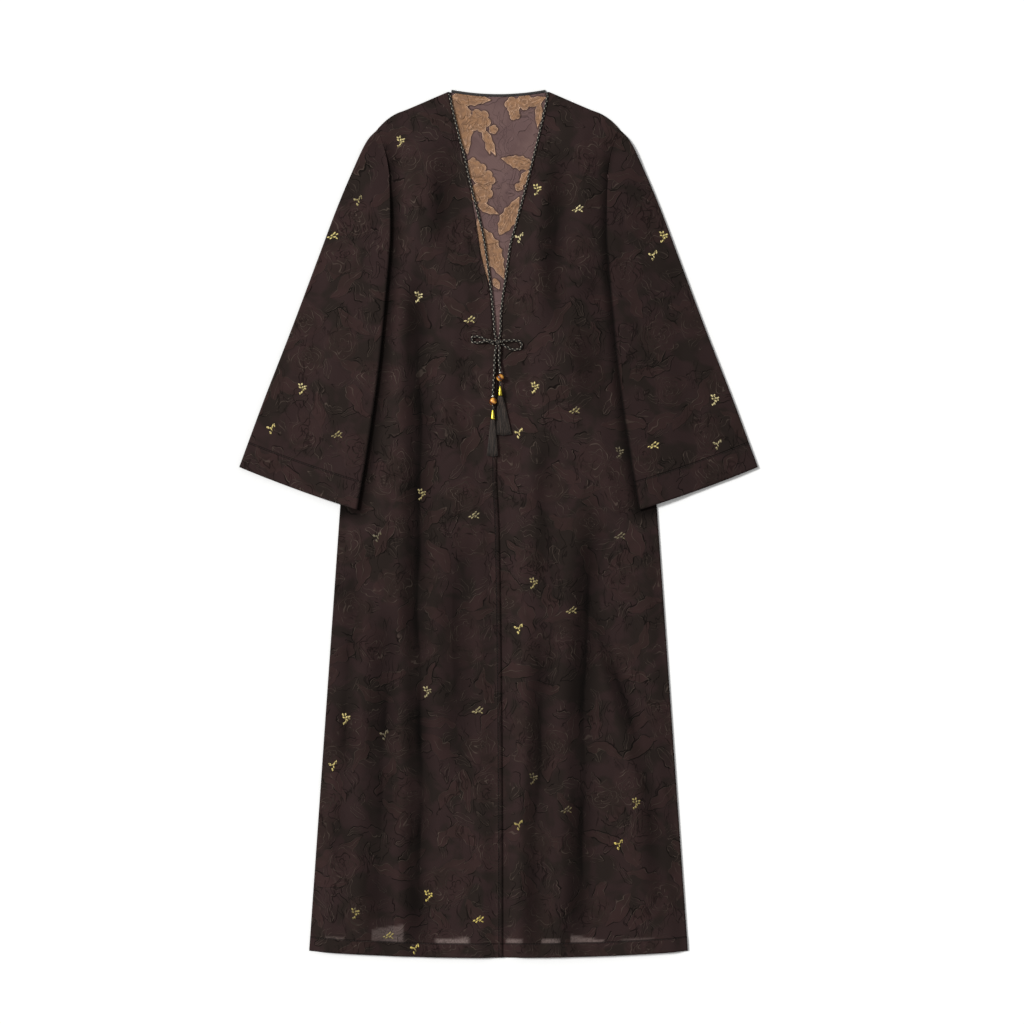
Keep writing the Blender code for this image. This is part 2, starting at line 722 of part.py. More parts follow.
def build_tassel(name, hanging, top_y, finish):
    """Strands drawn out of the foot of a flat oval head, each from its own cell of a square grid."""
    width, height, length = TASSEL_HEAD
    mesh = bmesh.new()
    bmesh.ops.create_grid(mesh, x_segments=TASSEL_COLUMNS, y_segments=TASSEL_LAYERS, size=1.0)
    cells = list(mesh.faces)
    head = bmesh.ops.extrude_face_region(mesh, geom=cells)
    raised = [item for item in head["geom"] if isinstance(item, bmesh.types.BMVert)]
    bmesh.ops.translate(mesh, verts=raised, vec=(0, 0, 1))
    bmesh.ops.inset_individual(mesh, faces=cells, thickness=STRAND_PARTING)
    tips = {}
    for index, cell in enumerate(cells):
        middle = cell.calc_center_median()
        foot = bmesh.ops.extrude_discrete_faces(mesh, faces=[cell])["faces"][0]
        for vert in foot.verts:
            tips[vert] = strand_tip(hanging, middle, index, vert.co.x, vert.co.y)
    for vert in mesh.verts:
        u, v, up = vert.co
        x = hanging.x + u * math.sqrt(1 - v * v / 2) * width / 2
        z = hanging.head_z + v * math.sqrt(1 - u * u / 2) * height / 2
        at_head = Vector((x, top_y - length + up * length, z))
        vert.co = tips.get(vert, at_head) * MM
    bmesh.ops.recalc_face_normals(mesh, faces=mesh.faces)
    return add_mesh(name, mesh, finish)


def build_hanging_end(side_name, finishes):
    """Spacer, bead, cap and tassel, each a seam's gap below the one before."""
    hanging = HANGING[side_name]
    gap = SEAM_GAP / MM
    bead_y = hanging.spacer_y - SPACER_RADIUS - gap - STONE_RADIUS
    cap_y = bead_y - STONE_RADIUS - gap
    tassel_y = cap_y - CAP_STEM_LENGTH - CAP_LENGTH - gap
    spacer = (hanging.x, hanging.spacer_y, hanging.bead_z)
    bead = (hanging.x, bead_y, hanging.bead_z)
    spacer_radii = [SPACER_RADIUS] * 3
    bead_radii = [STONE_RADIUS] * 3
    build_ball("spacer_bead_" + side_name, spacer, spacer_radii, finishes["silver"], SMALL_SEGMENTS)
    build_ball("stone_bead_" + side_name, bead, bead_radii, finishes["stone"], ROUND_SEGMENTS)
    build_cap("tassel_cap_" + side_name, hanging, cap_y, finishes["gilt"])
    build_tassel("tassel_" + side_name, hanging, tassel_y, finishes["tassel"])


for old in list(bpy.data.objects):
    bpy.data.objects.remove(old, do_unlink=True)
abaya = bpy.data.collections.new("abaya")
bpy.context.scene.collection.children.link(abaya)

cloth = material("jacquard_cloth", (0.18, 0.14, 0.13), 0.75)
lining_side = material("jacquard_cloth_inside", (0.43, 0.35, 0.34), 0.8)
black_tape = material("black_tape", (0.06, 0.06, 0.06), 0.7)
braid = material("braided_cord", (0.12, 0.11, 0.1), 0.7)
end_finishes = {
    "silver": material("silvered_metal", (0.8, 0.79, 0.76), 0.25, 1.0),
    "stone": material("banded_stone", (0.62, 0.36, 0.12), 0.2),
    "gilt": material("gilt_metal", (0.75, 0.68, 0.25), 0.3, 1.0),
    "tassel": material("tassel_thread", (0.2, 0.19, 0.19), 0.6),
}

build_back(lining_side)
build_front("front_right", -1, cloth)
build_front("front_left", 1, cloth)
build_sleeve("sleeve_right", -1, cloth)
build_sleeve("sleeve_left", 1, cloth)
build_binding(black_tape)
tube("neck_cord_right", resampled(NECK_CORD_RIGHT, CORD_STEP), CORD_RADIUS, braid)
tube("neck_cord_left", resampled(NECK_CORD_LEFT, CORD_STEP), CORD_RADIUS, braid)
build_ball("bow_knot", KNOT_CENTRE, KNOT_RADII, braid, ROUND_SEGMENTS)
tube("bow_loop_right", resampled(BOW_LOOP_RIGHT, BOW_CORD_STEP), CORD_RADIUS, braid)
tube("bow_loop_left", resampled(BOW_LOOP_LEFT, BOW_CORD_STEP), CORD_RADIUS, braid)
tube("tie_end_right", resampled(TIE_END_RIGHT, BOW_CORD_STEP), CORD_RADIUS, braid)
tube("tie_end_left", resampled(TIE_END_LEFT, BOW_CORD_STEP), CORD_RADIUS, braid)
build_hanging_end("right", end_finishes)
build_hanging_end("left", end_finishes)
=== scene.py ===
import math
from functools import partial
import bmesh
import bpy
import numpy as np
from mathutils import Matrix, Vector, noise
from mathutils.bvhtree import BVHTree


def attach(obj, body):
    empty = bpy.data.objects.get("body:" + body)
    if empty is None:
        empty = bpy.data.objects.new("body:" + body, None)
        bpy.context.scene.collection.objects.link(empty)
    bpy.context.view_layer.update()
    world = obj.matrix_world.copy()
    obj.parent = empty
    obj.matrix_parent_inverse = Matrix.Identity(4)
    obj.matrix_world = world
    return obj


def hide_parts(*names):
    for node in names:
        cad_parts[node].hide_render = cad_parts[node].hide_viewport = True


# An abaya laid flat on its back, seen from straight above; x runs across, y from hem to collar
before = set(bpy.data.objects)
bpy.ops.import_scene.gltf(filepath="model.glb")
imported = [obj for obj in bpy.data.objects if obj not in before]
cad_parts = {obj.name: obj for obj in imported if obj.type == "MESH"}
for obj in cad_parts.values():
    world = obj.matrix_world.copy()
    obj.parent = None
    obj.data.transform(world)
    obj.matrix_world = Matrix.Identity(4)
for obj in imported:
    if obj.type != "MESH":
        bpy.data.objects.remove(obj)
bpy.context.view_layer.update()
mm = 0.001

# Camera over the cloth, so that one pixel of the photograph is 1.6 mm of the garment
photoView = {"pixel": 1.6, "pixels": 1024, "middleX": 21.6, "middleY": 18.4, "clothZ": 5.0, "lens": 85.0,
             "sensor": 36.0}

cameraData = bpy.data.cameras.new("camera")
cameraData.lens = photoView["lens"]
cameraData.sensor_width = photoView["sensor"]
camera = bpy.data.objects.new("camera", cameraData)
viewWidth = photoView["pixel"] * photoView["pixels"]
viewHeight = viewWidth * photoView["lens"] / photoView["sensor"] + photoView["clothZ"]
camera.location = (photoView["middleX"] * mm, photoView["middleY"] * mm, viewHeight * mm)
bpy.context.scene.collection.objects.link(camera)
bpy.context.scene.camera = camera


# Numbers

def eased(low, high, value):
    share = np.clip((value - low) / (high - low), 0, 1)
    return share * share * (3 - 2 * share)


def bell(distance, halfWidth):
    return 0.5 + 0.5 * np.cos(np.pi * np.clip(np.abs(distance) / halfWidth, 0, 1))


def curveThrough(keys, values, at):  # a smooth curve through a table's rows, which never overshoots them
    keys, values = np.asarray(keys, float), np.asarray(values, float)
    slopes = np.gradient(values, keys)
    steps = np.diff(values) / np.diff(keys)
    steepest = 3 * np.minimum(abs(steps[:-1]), abs(steps[1:])) * (steps[:-1] * steps[1:] > 0)
    slopes[1:-1] = np.clip(slopes[1:-1], -steepest, steepest)
    at = np.clip(at, keys[0], keys[-1])
    row = np.clip(np.searchsorted(keys, at, side="right") - 1, 0, len(keys) - 2)
    span = keys[row + 1] - keys[row]
    share, rise = (at - keys[row]) / span, values[row + 1] - values[row]
    before, after = slopes[row] * span - rise, slopes[row + 1] * span - rise
    return values[row] + share * rise + share * (share - 1) * ((share - 1) * before + share * after)


def lengthsAlong(path):  # how far along the path each of its points lies
    return np.concatenate([[0], np.cumsum(np.linalg.norm(np.diff(path, axis=0), axis=1))])


def pointsAlong(path, places):
    return np.stack([np.interp(places, lengthsAlong(path), values) for values in path.T], axis=1)


def smoothRoute(route, step):
    route = np.asarray(route, float)
    keys = lengthsAlong(route)
    places = np.linspace(0, keys[-1], 800)  # far finer than any cord's rows
    fine = np.stack([curveThrough(keys, values, places) for values in route.T], axis=1)
    length = lengthsAlong(fine)[-1]
    return pointsAlong(fine, np.linspace(0, length, max(int(round(length / step)), 4) + 1))


# Materials

def linear(colour):
    parts = [int(colour[start:start + 2], 16) / 255 for start in (1, 3, 5)]
    return (*[part / 12.92 if part <= 0.04045 else ((part + 0.055) / 1.055) ** 2.4 for part in parts], 1.0)


def join(value, socket):  # a number or vector, a hex colour, a socket, or a node for its first output in use
    if isinstance(value, bpy.types.Node):
        value = next(output for output in value.outputs if output.enabled)
    if isinstance(value, bpy.types.NodeSocket):
        socket.id_data.links.new(value, socket)
    else:
        socket.default_value = linear(value) if isinstance(value, str) else value


def addNode(tree, kind, *values, **settings):  # values for its sockets in use, in turn or by a capital name
    node = tree.nodes.new("ShaderNode" + kind)
    for name, value in settings.items():
        if name[0].islower():
            setattr(node, name, value)
    for socket, value in zip([socket for socket in node.inputs if socket.enabled], values):
        join(value, socket)
    for name, value in settings.items():
        if name[0].isupper():
            join(value, node.inputs[name])
    return node


# Settings that many nodes share
soft, colours = {"interpolation_type": "SMOOTHSTEP"}, {"data_type": "RGBA"}
times, plus, minus, over = [{"operation": name} for name in ("MULTIPLY", "ADD", "SUBTRACT", "DIVIDE")]
larger, unsigned, sine = [{"operation": name} for name in ("MAXIMUM", "ABSOLUTE", "SINE")]
toAndFro = {"operation": "PINGPONG"}


def newMaterial(name, **finish):  # also its shader, and addNode for its own tree
    made = bpy.data.materials.new(name)
    made.use_nodes = True
    shader = made.node_tree.nodes["Principled BSDF"]
    for socket, value in finish.items():
        join(value, shader.inputs[socket.replace("_", " ")])
    return made, shader, partial(addNode, made.node_tree)


def patchy(add, place, size, *reach, detail=1.0, **settings):  # soft patches of this size in millimetres
    return add("MapRange", add("TexNoise", place, 1 / (size * mm), detail, **settings), *reach, **soft)


def twoToned(name, look, **finish):  # one colour with soft patches of another
    made, shader, add = newMaterial(name, **finish)
    place = add("TexCoord").outputs["Object"]
    if "stretch" in look:
        place = add("VectorMath", place, look["stretch"], **times)
    tone = patchy(add, place, look["size"], *look.get("edges", (0.35, 0.65)), detail=look["detail"])
    join(add("Mix", tone, *look["colours"], **colours), shader.inputs["Base Color"])
    if "relief" in look:
        join(add("Bump", Height=tone, Distance=look["relief"] * mm), shader.inputs["Normal"])
    return made


def tableOf(columns, *rows):  # each row as a dictionary by the columns' names
    return [dict(zip(columns.split(), row)) for row in rows]


# Cloth sizes in millimetres, the same garment as the solids
bodyCut = {"armpitX": 226.4, "armpitY": 413.6, "hemSideX": 303.2, "hemSideY": -684.0, "hemMiddleY": -694.8,
           "hemRounding": 2.2, "shoulderEndX": 192.8, "shoulderEndY": 632.8}
armhole = {"y": [413.6, 430.0, 466.0, 500.0, 526.0, 556.0, 588.0, 632.8],
           "x": [226.4, 205.6, 188.0, 179.0, 175.6, 175.2, 179.6, 192.8]}
shoulder = {"x": [78.2, 93.6, 149.6, 165.6, 181.6, 192.8],
            "y": [692.2, 685.6, 661.6, 655.2, 644.0, 632.8]}
lappingEdge = {"y": [-695.0, -410.0, -122.0, 0.0, 86.0, 200.0, 276.0, 297.0],
               "x": [6.4, 5.6, 2.7, 0.3, -3.4, -1.6, -1.8, -7.7]}
lappedEdge = {"y": [-695.0, -410.0, -60.0, 70.0, 165.0, 230.0, 265.0, 283.0, 297.0],
              "x": [-6.4, -7.0, -12.0, -13.6, -9.0, -4.5, -0.8, 1.8, 3.9]}
binding = {"half": 75.4, "middleY": 685.6, "rise": 7.0, "radius": 2.1, "flatness": 0.62}
cloth = {"wall": 0.9, "frontLevel": 1.5, "lapLevel": 3.0, "puff": 5.5, "lapTopY": 297.0, "lapFullY": 276.0,
         "climbFrom": 34.0, "climbTo": 12.0}
crumple = {"broad": 46.0, "fine": 15.0, "shift": 7.0, "share": 0.6}
neckSag = {"topY": 560.0, "deepestY": 440.0, "bottomY": 368.0, "depth": 6.4}
cordRadius = 1.7
cordFromEdge = 2.5
bothSides = {"Right": -1, "Left": 1}

# The cords' routes, point by point as in the solids
neckCordRight = [(-78.8, 687.6, 3.3), (-71.2, 653.6, 3.3), (-61.8, 615.2, 3.3), (-53.0, 581.6, 3.3),
                 (-46.2, 549.6, 3.3), (-37.6, 514.4, 3.3), (-31.0, 488.8, 3.3), (-24.9, 463.2, 3.3),
                 (-20.0, 434.4, 3.3), (-15.8, 404.0, 3.3), (-12.2, 375.2, 3.3), (-7.4, 325.6, 3.3),
                 (-5.4, 301.0, 3.9), (-4.1, 295.2, 5.0)]
neckCordLeft = [(78.8, 687.6, 3.3), (74.2, 663.2, 3.3), (67.8, 634.4, 3.3), (60.4, 604.0, 3.3),
                (49.2, 559.2, 3.3), (37.4, 514.4, 3.3), (24.8, 468.0, 3.3), (18.9, 445.6, 3.3),
                (14.9, 418.4, 3.3), (11.2, 391.2, 3.3), (7.4, 367.2, 3.3), (4.2, 338.4, 3.3),
                (2.2, 301.0, 3.9), (1.3, 295.6, 5.0)]


def alongTable(table, y):
    return curveThrough(table["y"], table["x"], y)


def routeX(route, y):
    upwards = np.asarray(route[::-1], float)
    return curveThrough(upwards[:, 1], upwards[:, 0], y)


def sideX(y):
    down = (bodyCut["armpitY"] - y) / (bodyCut["armpitY"] - bodyCut["hemSideY"])
    straight = bodyCut["armpitX"] + down * (bodyCut["hemSideX"] - bodyCut["armpitX"])
    return np.where(y >= bodyCut["armpitY"], alongTable(armhole, y), straight)


def shoulderY(x):
    return curveThrough(shoulder["x"], shoulder["y"], np.abs(x))


def hemY(x):
    rise = np.clip(np.abs(x) / bodyCut["hemSideX"], 0, 1) ** bodyCut["hemRounding"]
    return bodyCut["hemMiddleY"] + (bodyCut["hemSideY"] - bodyCut["hemMiddleY"]) * rise


def bindingY(x):
    return binding["middleY"] + binding["rise"] * (x / binding["half"]) ** 2


def sag(y):
    above = 1 - eased(neckSag["deepestY"], neckSag["topY"], y)
    below = eased(neckSag["bottomY"], neckSag["deepestY"], y)
    return neckSag["depth"] * np.where(y > neckSag["deepestY"], above, below)


def openingX(side, y):
    if side < 0:
        neckline = routeX(neckCordRight, y) - cordFromEdge - sag(y)
        return np.where(y > cloth["lapTopY"], neckline, alongTable(lappingEdge, y))
    neckline = routeX(neckCordLeft, y) + cordFromEdge
    return np.where(y > cloth["lapTopY"], neckline, alongTable(lappedEdge, y))


# Soft folds of the fronts: the cloth stands off the back and dips in these troughs
troughs = tableOf("topX topY footX footY half depth lean",
                  (-132, 430, -129, -720, 20, 1.0, -1),
                  (-184, -120, -197, -720, 22, 0.7, -1),
                  (-93, 630, -92, 410, 18, 0.75, -1),
                  (-62, 60, -66, -420, 26, 0.35, 1),
                  (-232, -30, -262, -560, 18, 0.4, -1),
                  (88, 620, 92, 300, 18, 0.7, -1),
                  (146, 60, 121, -720, 21, 0.9, -1),
                  (68, -140, 52, -720, 17, 0.75, -1),
                  (138, -80, 262, -500, 15, 0.7, -1),
                  (234, -300, 252, -640, 18, 0.5, 1),
                  (140, 430, 146, 150, 24, 0.5, -1),
                  (74, 160, 78, -160, 14, 0.45, 1))
troughShape = {"fade": 110.0, "spread": 1.7, "sharpness": 1.5, "sway": 2.6, "swayEvery": 83.0,
               "tremble": 1.5, "trembleEvery": 31.0}
puffFrom = {"opening": (8.0, 42.0), "side": (2.0, 30.0), "shoulder": (0.0, 90.0), "sleeve": (14.0, 44.0)}
tieRest = {"x": -2.0, "y": 205.0, "radiusX": 50.0, "radiusY": 125.0, "fade": 1.6}

# Sleeve sections from the armhole to the cuff: the fold along the arm and the fold over the body
sleeveCut = {"outerX": [193.4, 212.0, 236.0, 260.0, 288.8, 332.0, 376.8, 415.2],
             "outerY": [632.4, 610.4, 559.2, 501.6, 424.8, 309.6, 194.4, 90.4],
             "innerX": [176.8, 173.6, 172.0, 174.4, 180.4, 190.8, 207.0, 224.8],
             "innerY": [554.4, 513.0, 465.0, 420.0, 352.0, 245.0, 128.0, 21.6]}
sleeveForm = {"foldRadius": 3.0, "wall": 1.2, "headGap": 0.15, "headBlend": 0.3, "headLength": 0.25,
              "headRise": (0.25, 0.75), "cuffBow": 2.4, "bowFrom": 0.6, "clear": 2.7, "clearFrom": 0.22,
              "leastClear": 0.3, "onBody": (26.0, 62.0), "foldsFrom": (0.1, 0.6)}
sleeveFolds = tableOf("across half height", (0.2, 0.14, 0.7), (0.52, 0.17, 1.0), (0.84, 0.12, 0.8))


def offSleeve(x, y):
    innerX = curveThrough(sleeveCut["innerY"][::-1], sleeveCut["innerX"][::-1], y)
    cuffX, cuffY = sleeveCut["innerX"][-1], sleeveCut["innerY"][-1]
    corner = np.hypot(np.maximum(cuffX - np.abs(x), 0), cuffY - y)
    return np.where(y >= cuffY, innerX - np.abs(x), corner)


def middleOf(trough, y):  # no fold runs quite straight
    along = (trough["topY"] - y) / (trough["topY"] - trough["footY"])
    sway = troughShape["sway"] * np.sin(y / troughShape["swayEvery"] + trough["topX"])
    tremble = troughShape["tremble"] * np.sin(y / troughShape["trembleEvery"] + trough["footX"])
    return trough["topX"] + along * (trough["footX"] - trough["topX"]) + (sway + tremble)


def endsOf(trough, y, fade):
    return eased(0, fade, trough["topY"] - y) * eased(0, fade, y - trough["footY"])


def troughShare(trough, x, y):
    across = bell(x - middleOf(trough, y), trough["half"] * troughShape["spread"])
    return endsOf(trough, y, troughShape["fade"]) * across ** troughShape["sharpness"]


def visibleOpeningX(side, y):
    lapped = np.maximum(alongTable(lappedEdge, y), alongTable(lappingEdge, y))
    return openingX(side, y) if side < 0 else np.where(y > cloth["lapTopY"], openingX(side, y), lapped)


def puff(side, x, y):
    tie = np.hypot((x - tieRest["x"]) / tieRest["radiusX"], (y - tieRest["y"]) / tieRest["radiusY"])
    height = cloth["puff"] * eased(*puffFrom["opening"], side * (x - visibleOpeningX(side, y)))
    height = height * eased(*puffFrom["side"], sideX(y) - np.abs(x))
    height = height * eased(*puffFrom["shoulder"], shoulderY(x) - y)
    height = height * eased(*puffFrom["sleeve"], offSleeve(x, y)) * eased(1.0, tieRest["fade"], tie)
    for trough in troughs:
        height = height * (1 - trough["depth"] * troughShare(trough, x, y))
    return height


def lapRise(side, x, y):
    if side > 0:
        return 0 * x
    under = alongTable(lappedEdge, np.minimum(y, cloth["lapTopY"]))
    rise = eased(under - cloth["climbFrom"], under - cloth["climbTo"], x)
    rise = rise * (1 - eased(cloth["lapFullY"], cloth["lapTopY"], y))
    return rise * (cloth["lapLevel"] - cloth["frontLevel"])


def crinkle(x, y, strength):  # the small unevenness that the raised figures give the cloth
    points = np.stack([np.ravel(x), np.ravel(y), np.zeros(np.size(x))], axis=1)
    broad = np.array([noise.noise(Vector(point / crumple["broad"])) for point in points])
    fine = np.array([noise.noise(Vector(point / crumple["fine"] + crumple["shift"])) for point in points])
    return strength * (crumple["share"] * broad + (1 - crumple["share"]) * fine).reshape(np.shape(x))


# Pieces

def addPiece(name, mesh, materials, slot, *nodes):
    data = mesh
    if isinstance(mesh, bmesh.types.BMesh):
        data = bpy.data.meshes.new(name)
        mesh.to_mesh(data)
        mesh.free()
    for material in materials:
        data.materials.append(material)
    data.shade_smooth()
    piece = bpy.data.objects.new(name, data)
    bpy.context.scene.collection.objects.link(piece)
    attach(piece, "root")
    if nodes:
        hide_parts(*nodes)
    return piece


# What marks a point of the cloth, in millimetres or shares, where its panel doesn't say otherwise
# the last mark is how far painted shade darkens the cloth's colour
noMarks = {"figure": -9.0, "vein": 9.0, "fromStitch": 99.0, "fromStrip": 99.0, "sheer": 0.0, "crease": 0.0}


def clothPiece(name, columns, rows, place, materials, slot, node):  # a grid laid out by place(across, down)
    grid = bmesh.new()
    bmesh.ops.create_grid(grid, x_segments=columns, y_segments=rows, size=0.5)
    data = bpy.data.meshes.new(name)
    grid.to_mesh(data)
    grid.free()
    flat = np.empty(len(data.vertices) * 3)
    data.vertices.foreach_get("co", flat)
    flat = flat.reshape(-1, 3)
    points, marks = place(flat[:, 0] + 0.5, 0.5 - flat[:, 1])
    data.vertices.foreach_set("co", (np.stack(points, axis=1) * mm).ravel())
    for mark, usual in noMarks.items():
        values = np.asarray(marks.get(mark, np.full(len(flat), usual)), np.float32)
        data.attributes.new(mark, "FLOAT", "POINT").data.foreach_set("value", values)
    return addPiece(name, data, materials, slot, node)


def thicken(piece, thickness, offset, insideSlot, even=True):
    wall = piece.modifiers.new("wall", "SOLIDIFY")
    wall.thickness = thickness * mm
    wall.offset = offset
    wall.material_offset = insideSlot
    wall.use_even_offset = even
    return piece


def addTube(mesh, path, radius, sides):  # radius may be a number or a shape radius(along, turn)
    path = np.asarray(path, float)
    last = len(path) - 1
    along = lengthsAlong(path)
    ahead = np.gradient(path, axis=0)
    ahead /= np.linalg.norm(ahead, axis=1)[:, None]
    across = np.cross(ahead, (0, 0, 1))
    across /= np.maximum(np.linalg.norm(across, axis=1), 1e-6)[:, None]
    up = np.cross(across, ahead)
    wrap = mesh.loops.layers.uv.get("wrap") or mesh.loops.layers.uv.new("wrap")
    made = bmesh.ops.create_grid(mesh, x_segments=sides, y_segments=last, size=0.5)["verts"]
    for face in {face for vert in made for face in vert.link_faces}:
        for loop in face.loops:
            loop[wrap].uv = (loop.vert.co.x + 0.5, along[round((loop.vert.co.y + 0.5) * last)])
    for vert in made:
        row = round((vert.co.y + 0.5) * last)
        turn = vert.co.x + 0.5
        angle = 2 * math.pi * turn
        reach = radius(along[row], turn) if callable(radius) else radius
        vert.co = Vector(path[row] + (across[row] * math.sin(angle) - up[row] * math.cos(angle)) * reach) * mm
    bmesh.ops.remove_doubles(mesh, verts=made, dist=0.000001)
    rims = {edge for vert in made if vert.is_valid for edge in vert.link_edges if edge.is_boundary}
    bmesh.ops.holes_fill(mesh, edges=list(rims), sides=sides)


# Patterns of thread for the materials

def lineWhere(add, value, low, high, most=1.0):  # a line where the value is near 0, which fades out by high
    return add("MapRange", add("Math", value, **unsigned), low, high, most, 0.0, **soft)


def thinLines(add, value, pitch, half):  # 1 on lines at every pitch of the value, 0 between them
    off = add("Math", add("Math", value, pitch, **over), 0.5, **toAndFro)
    return add("MapRange", off, half / pitch * 0.4, half / pitch, 1.0, 0.0, **soft)


def wandering(add, place, far):  # the place pushed about a little, so that figures don't repeat stiffly
    push = add("TexNoise", place, 1 / (far * mm), 1.0).outputs["Color"]
    push = add("VectorMath", push, (0.5, 0.5, 0.5), **minus)
    return add("VectorMath", place, add("VectorMath", push, (far * mm, far * mm, 0.0), **times), **plus)


def scattered(add, place, size):  # the way in mm from the nearest of scattered hearts, and its chance numbers
    hearts = add("TexVoronoi", place, 1 / (size * mm), voronoi_dimensions="2D")
    apart = add("VectorMath", place, hearts.outputs["Position"], **minus)
    apart = add("VectorMath", apart, (1 / mm, 1 / mm, 0.0), **times)
    return apart, add("SeparateXYZ", hearts.outputs["Color"]).outputs


def leafLines(add, place, leaf):  # pointed leaves lying every way: outline, the shade beside it, inside
    apart, chance = scattered(add, place, leaf["size"])
    angle = add("Math", chance[0], leaf["turn"], **times)
    parts = add("SeparateXYZ", add("VectorRotate", Vector=apart, Angle=angle, rotation_type="Z_AXIS")).outputs
    along = add("Math", parts[0], leaf["length"] / 2, **over)
    off = add("Math", parts[1], **unsigned)
    half = add("Math", 1.0, add("Math", along, along, **times), **minus)
    half = add("Math", half, leaf["width"] / 2, **times)
    lobes = add("Math", add("Math", add("Math", along, leaf["lobes"], **times), **sine), **unsigned)
    lobes = add("Math", lobes, leaf["lobe"], **times)
    depth = add("Math", add("Math", half, lobes, **plus), off, **minus)
    inside = add("MapRange", depth, -0.5, 0.5, **soft)
    outline = lineWhere(add, depth, 0.2, 0.75)
    rib = add("Math", add("MapRange", off, 0.2, 0.8, 0.8, 0.0, **soft), inside, **times)
    beside = lineWhere(add, add("Math", depth, leaf["shadeOff"], **plus), 0.2, 1.0)
    return add("Math", outline, rib, **larger), beside, inside


def blossomLines(add, place, blossom):  # rings of rounded petals round scattered hearts, and where they lie
    apart, chance = scattered(add, place, blossom["size"])
    parts = add("SeparateXYZ", apart).outputs
    reach = add("VectorMath", apart, operation="LENGTH")
    turn = add("Math", parts[1], parts[0], operation="ARCTAN2")
    turn = add("Math", turn, add("Math", chance[1], blossom["turn"], **times), **plus)
    ring = add("Math", add("Math", reach, blossom["ring"], **over), operation="FLOOR")
    ring = add("Math", ring, blossom["twist"], **times)
    lobes = add("Math", add("Math", turn, blossom["petals"] / 2, **times), ring, **plus)
    lobes = add("Math", add("Math", lobes, **sine), **unsigned)
    lobed = add("Math", reach, add("Math", lobes, blossom["lobe"], **times), **minus)
    near = add("MapRange", reach, *[blossom["size"] * edge for edge in blossom["edges"]], 1.0, 0.0, **soft)
    return add("Math", thinLines(add, lobed, blossom["ring"], blossom["line"]), near, **times), near


# Jacquard: figures a little lighter or darker than the ground, outlined by thin floats of thread
outerCloth = {"ground": "#302423", "patch": "#27201D", "fill": "#3A2927", "light": "#63564D",
              "dark": "#090706", "groundSize": 42.0, "roughness": 0.85, "filled": 0.45, "lines": 0.42,
              "shades": 0.75, "threads": 0.45}
insideCloth = {"ground": "#67524F", "patch": "#5E4A48", "fill": "#695453", "light": "#7A6462",
               "dark": "#544242", "groundSize": 40.0, "roughness": 0.85, "filled": 0.35, "lines": 0.3,
               "shades": 0.3, "threads": 0.1}
longLeaf = {"size": 68.0, "length": 64.0, "width": 17.0, "lobe": 2.2, "lobes": 5.5, "turn": 6.28,
            "shadeOff": 1.3}
smallLeaf = {**longLeaf, "size": 33.0, "length": 32.0, "width": 11.0, "lobe": 1.4}
roundBlossom = {"size": 92.0, "petals": 5, "ring": 6.5, "line": 0.95, "lobe": 4.2, "twist": 1.9, "turn": 6.0,
                "edges": (0.26, 0.34)}
insideFigures = {"fill": "#906D52", "deep": "#7F614C", "outline": "#D6AE90", "shadow": "#46342F",
                 "ring": 4.6}
sheerPatch = "#776864"  # the thin cloth lets the paler inside through above the hem


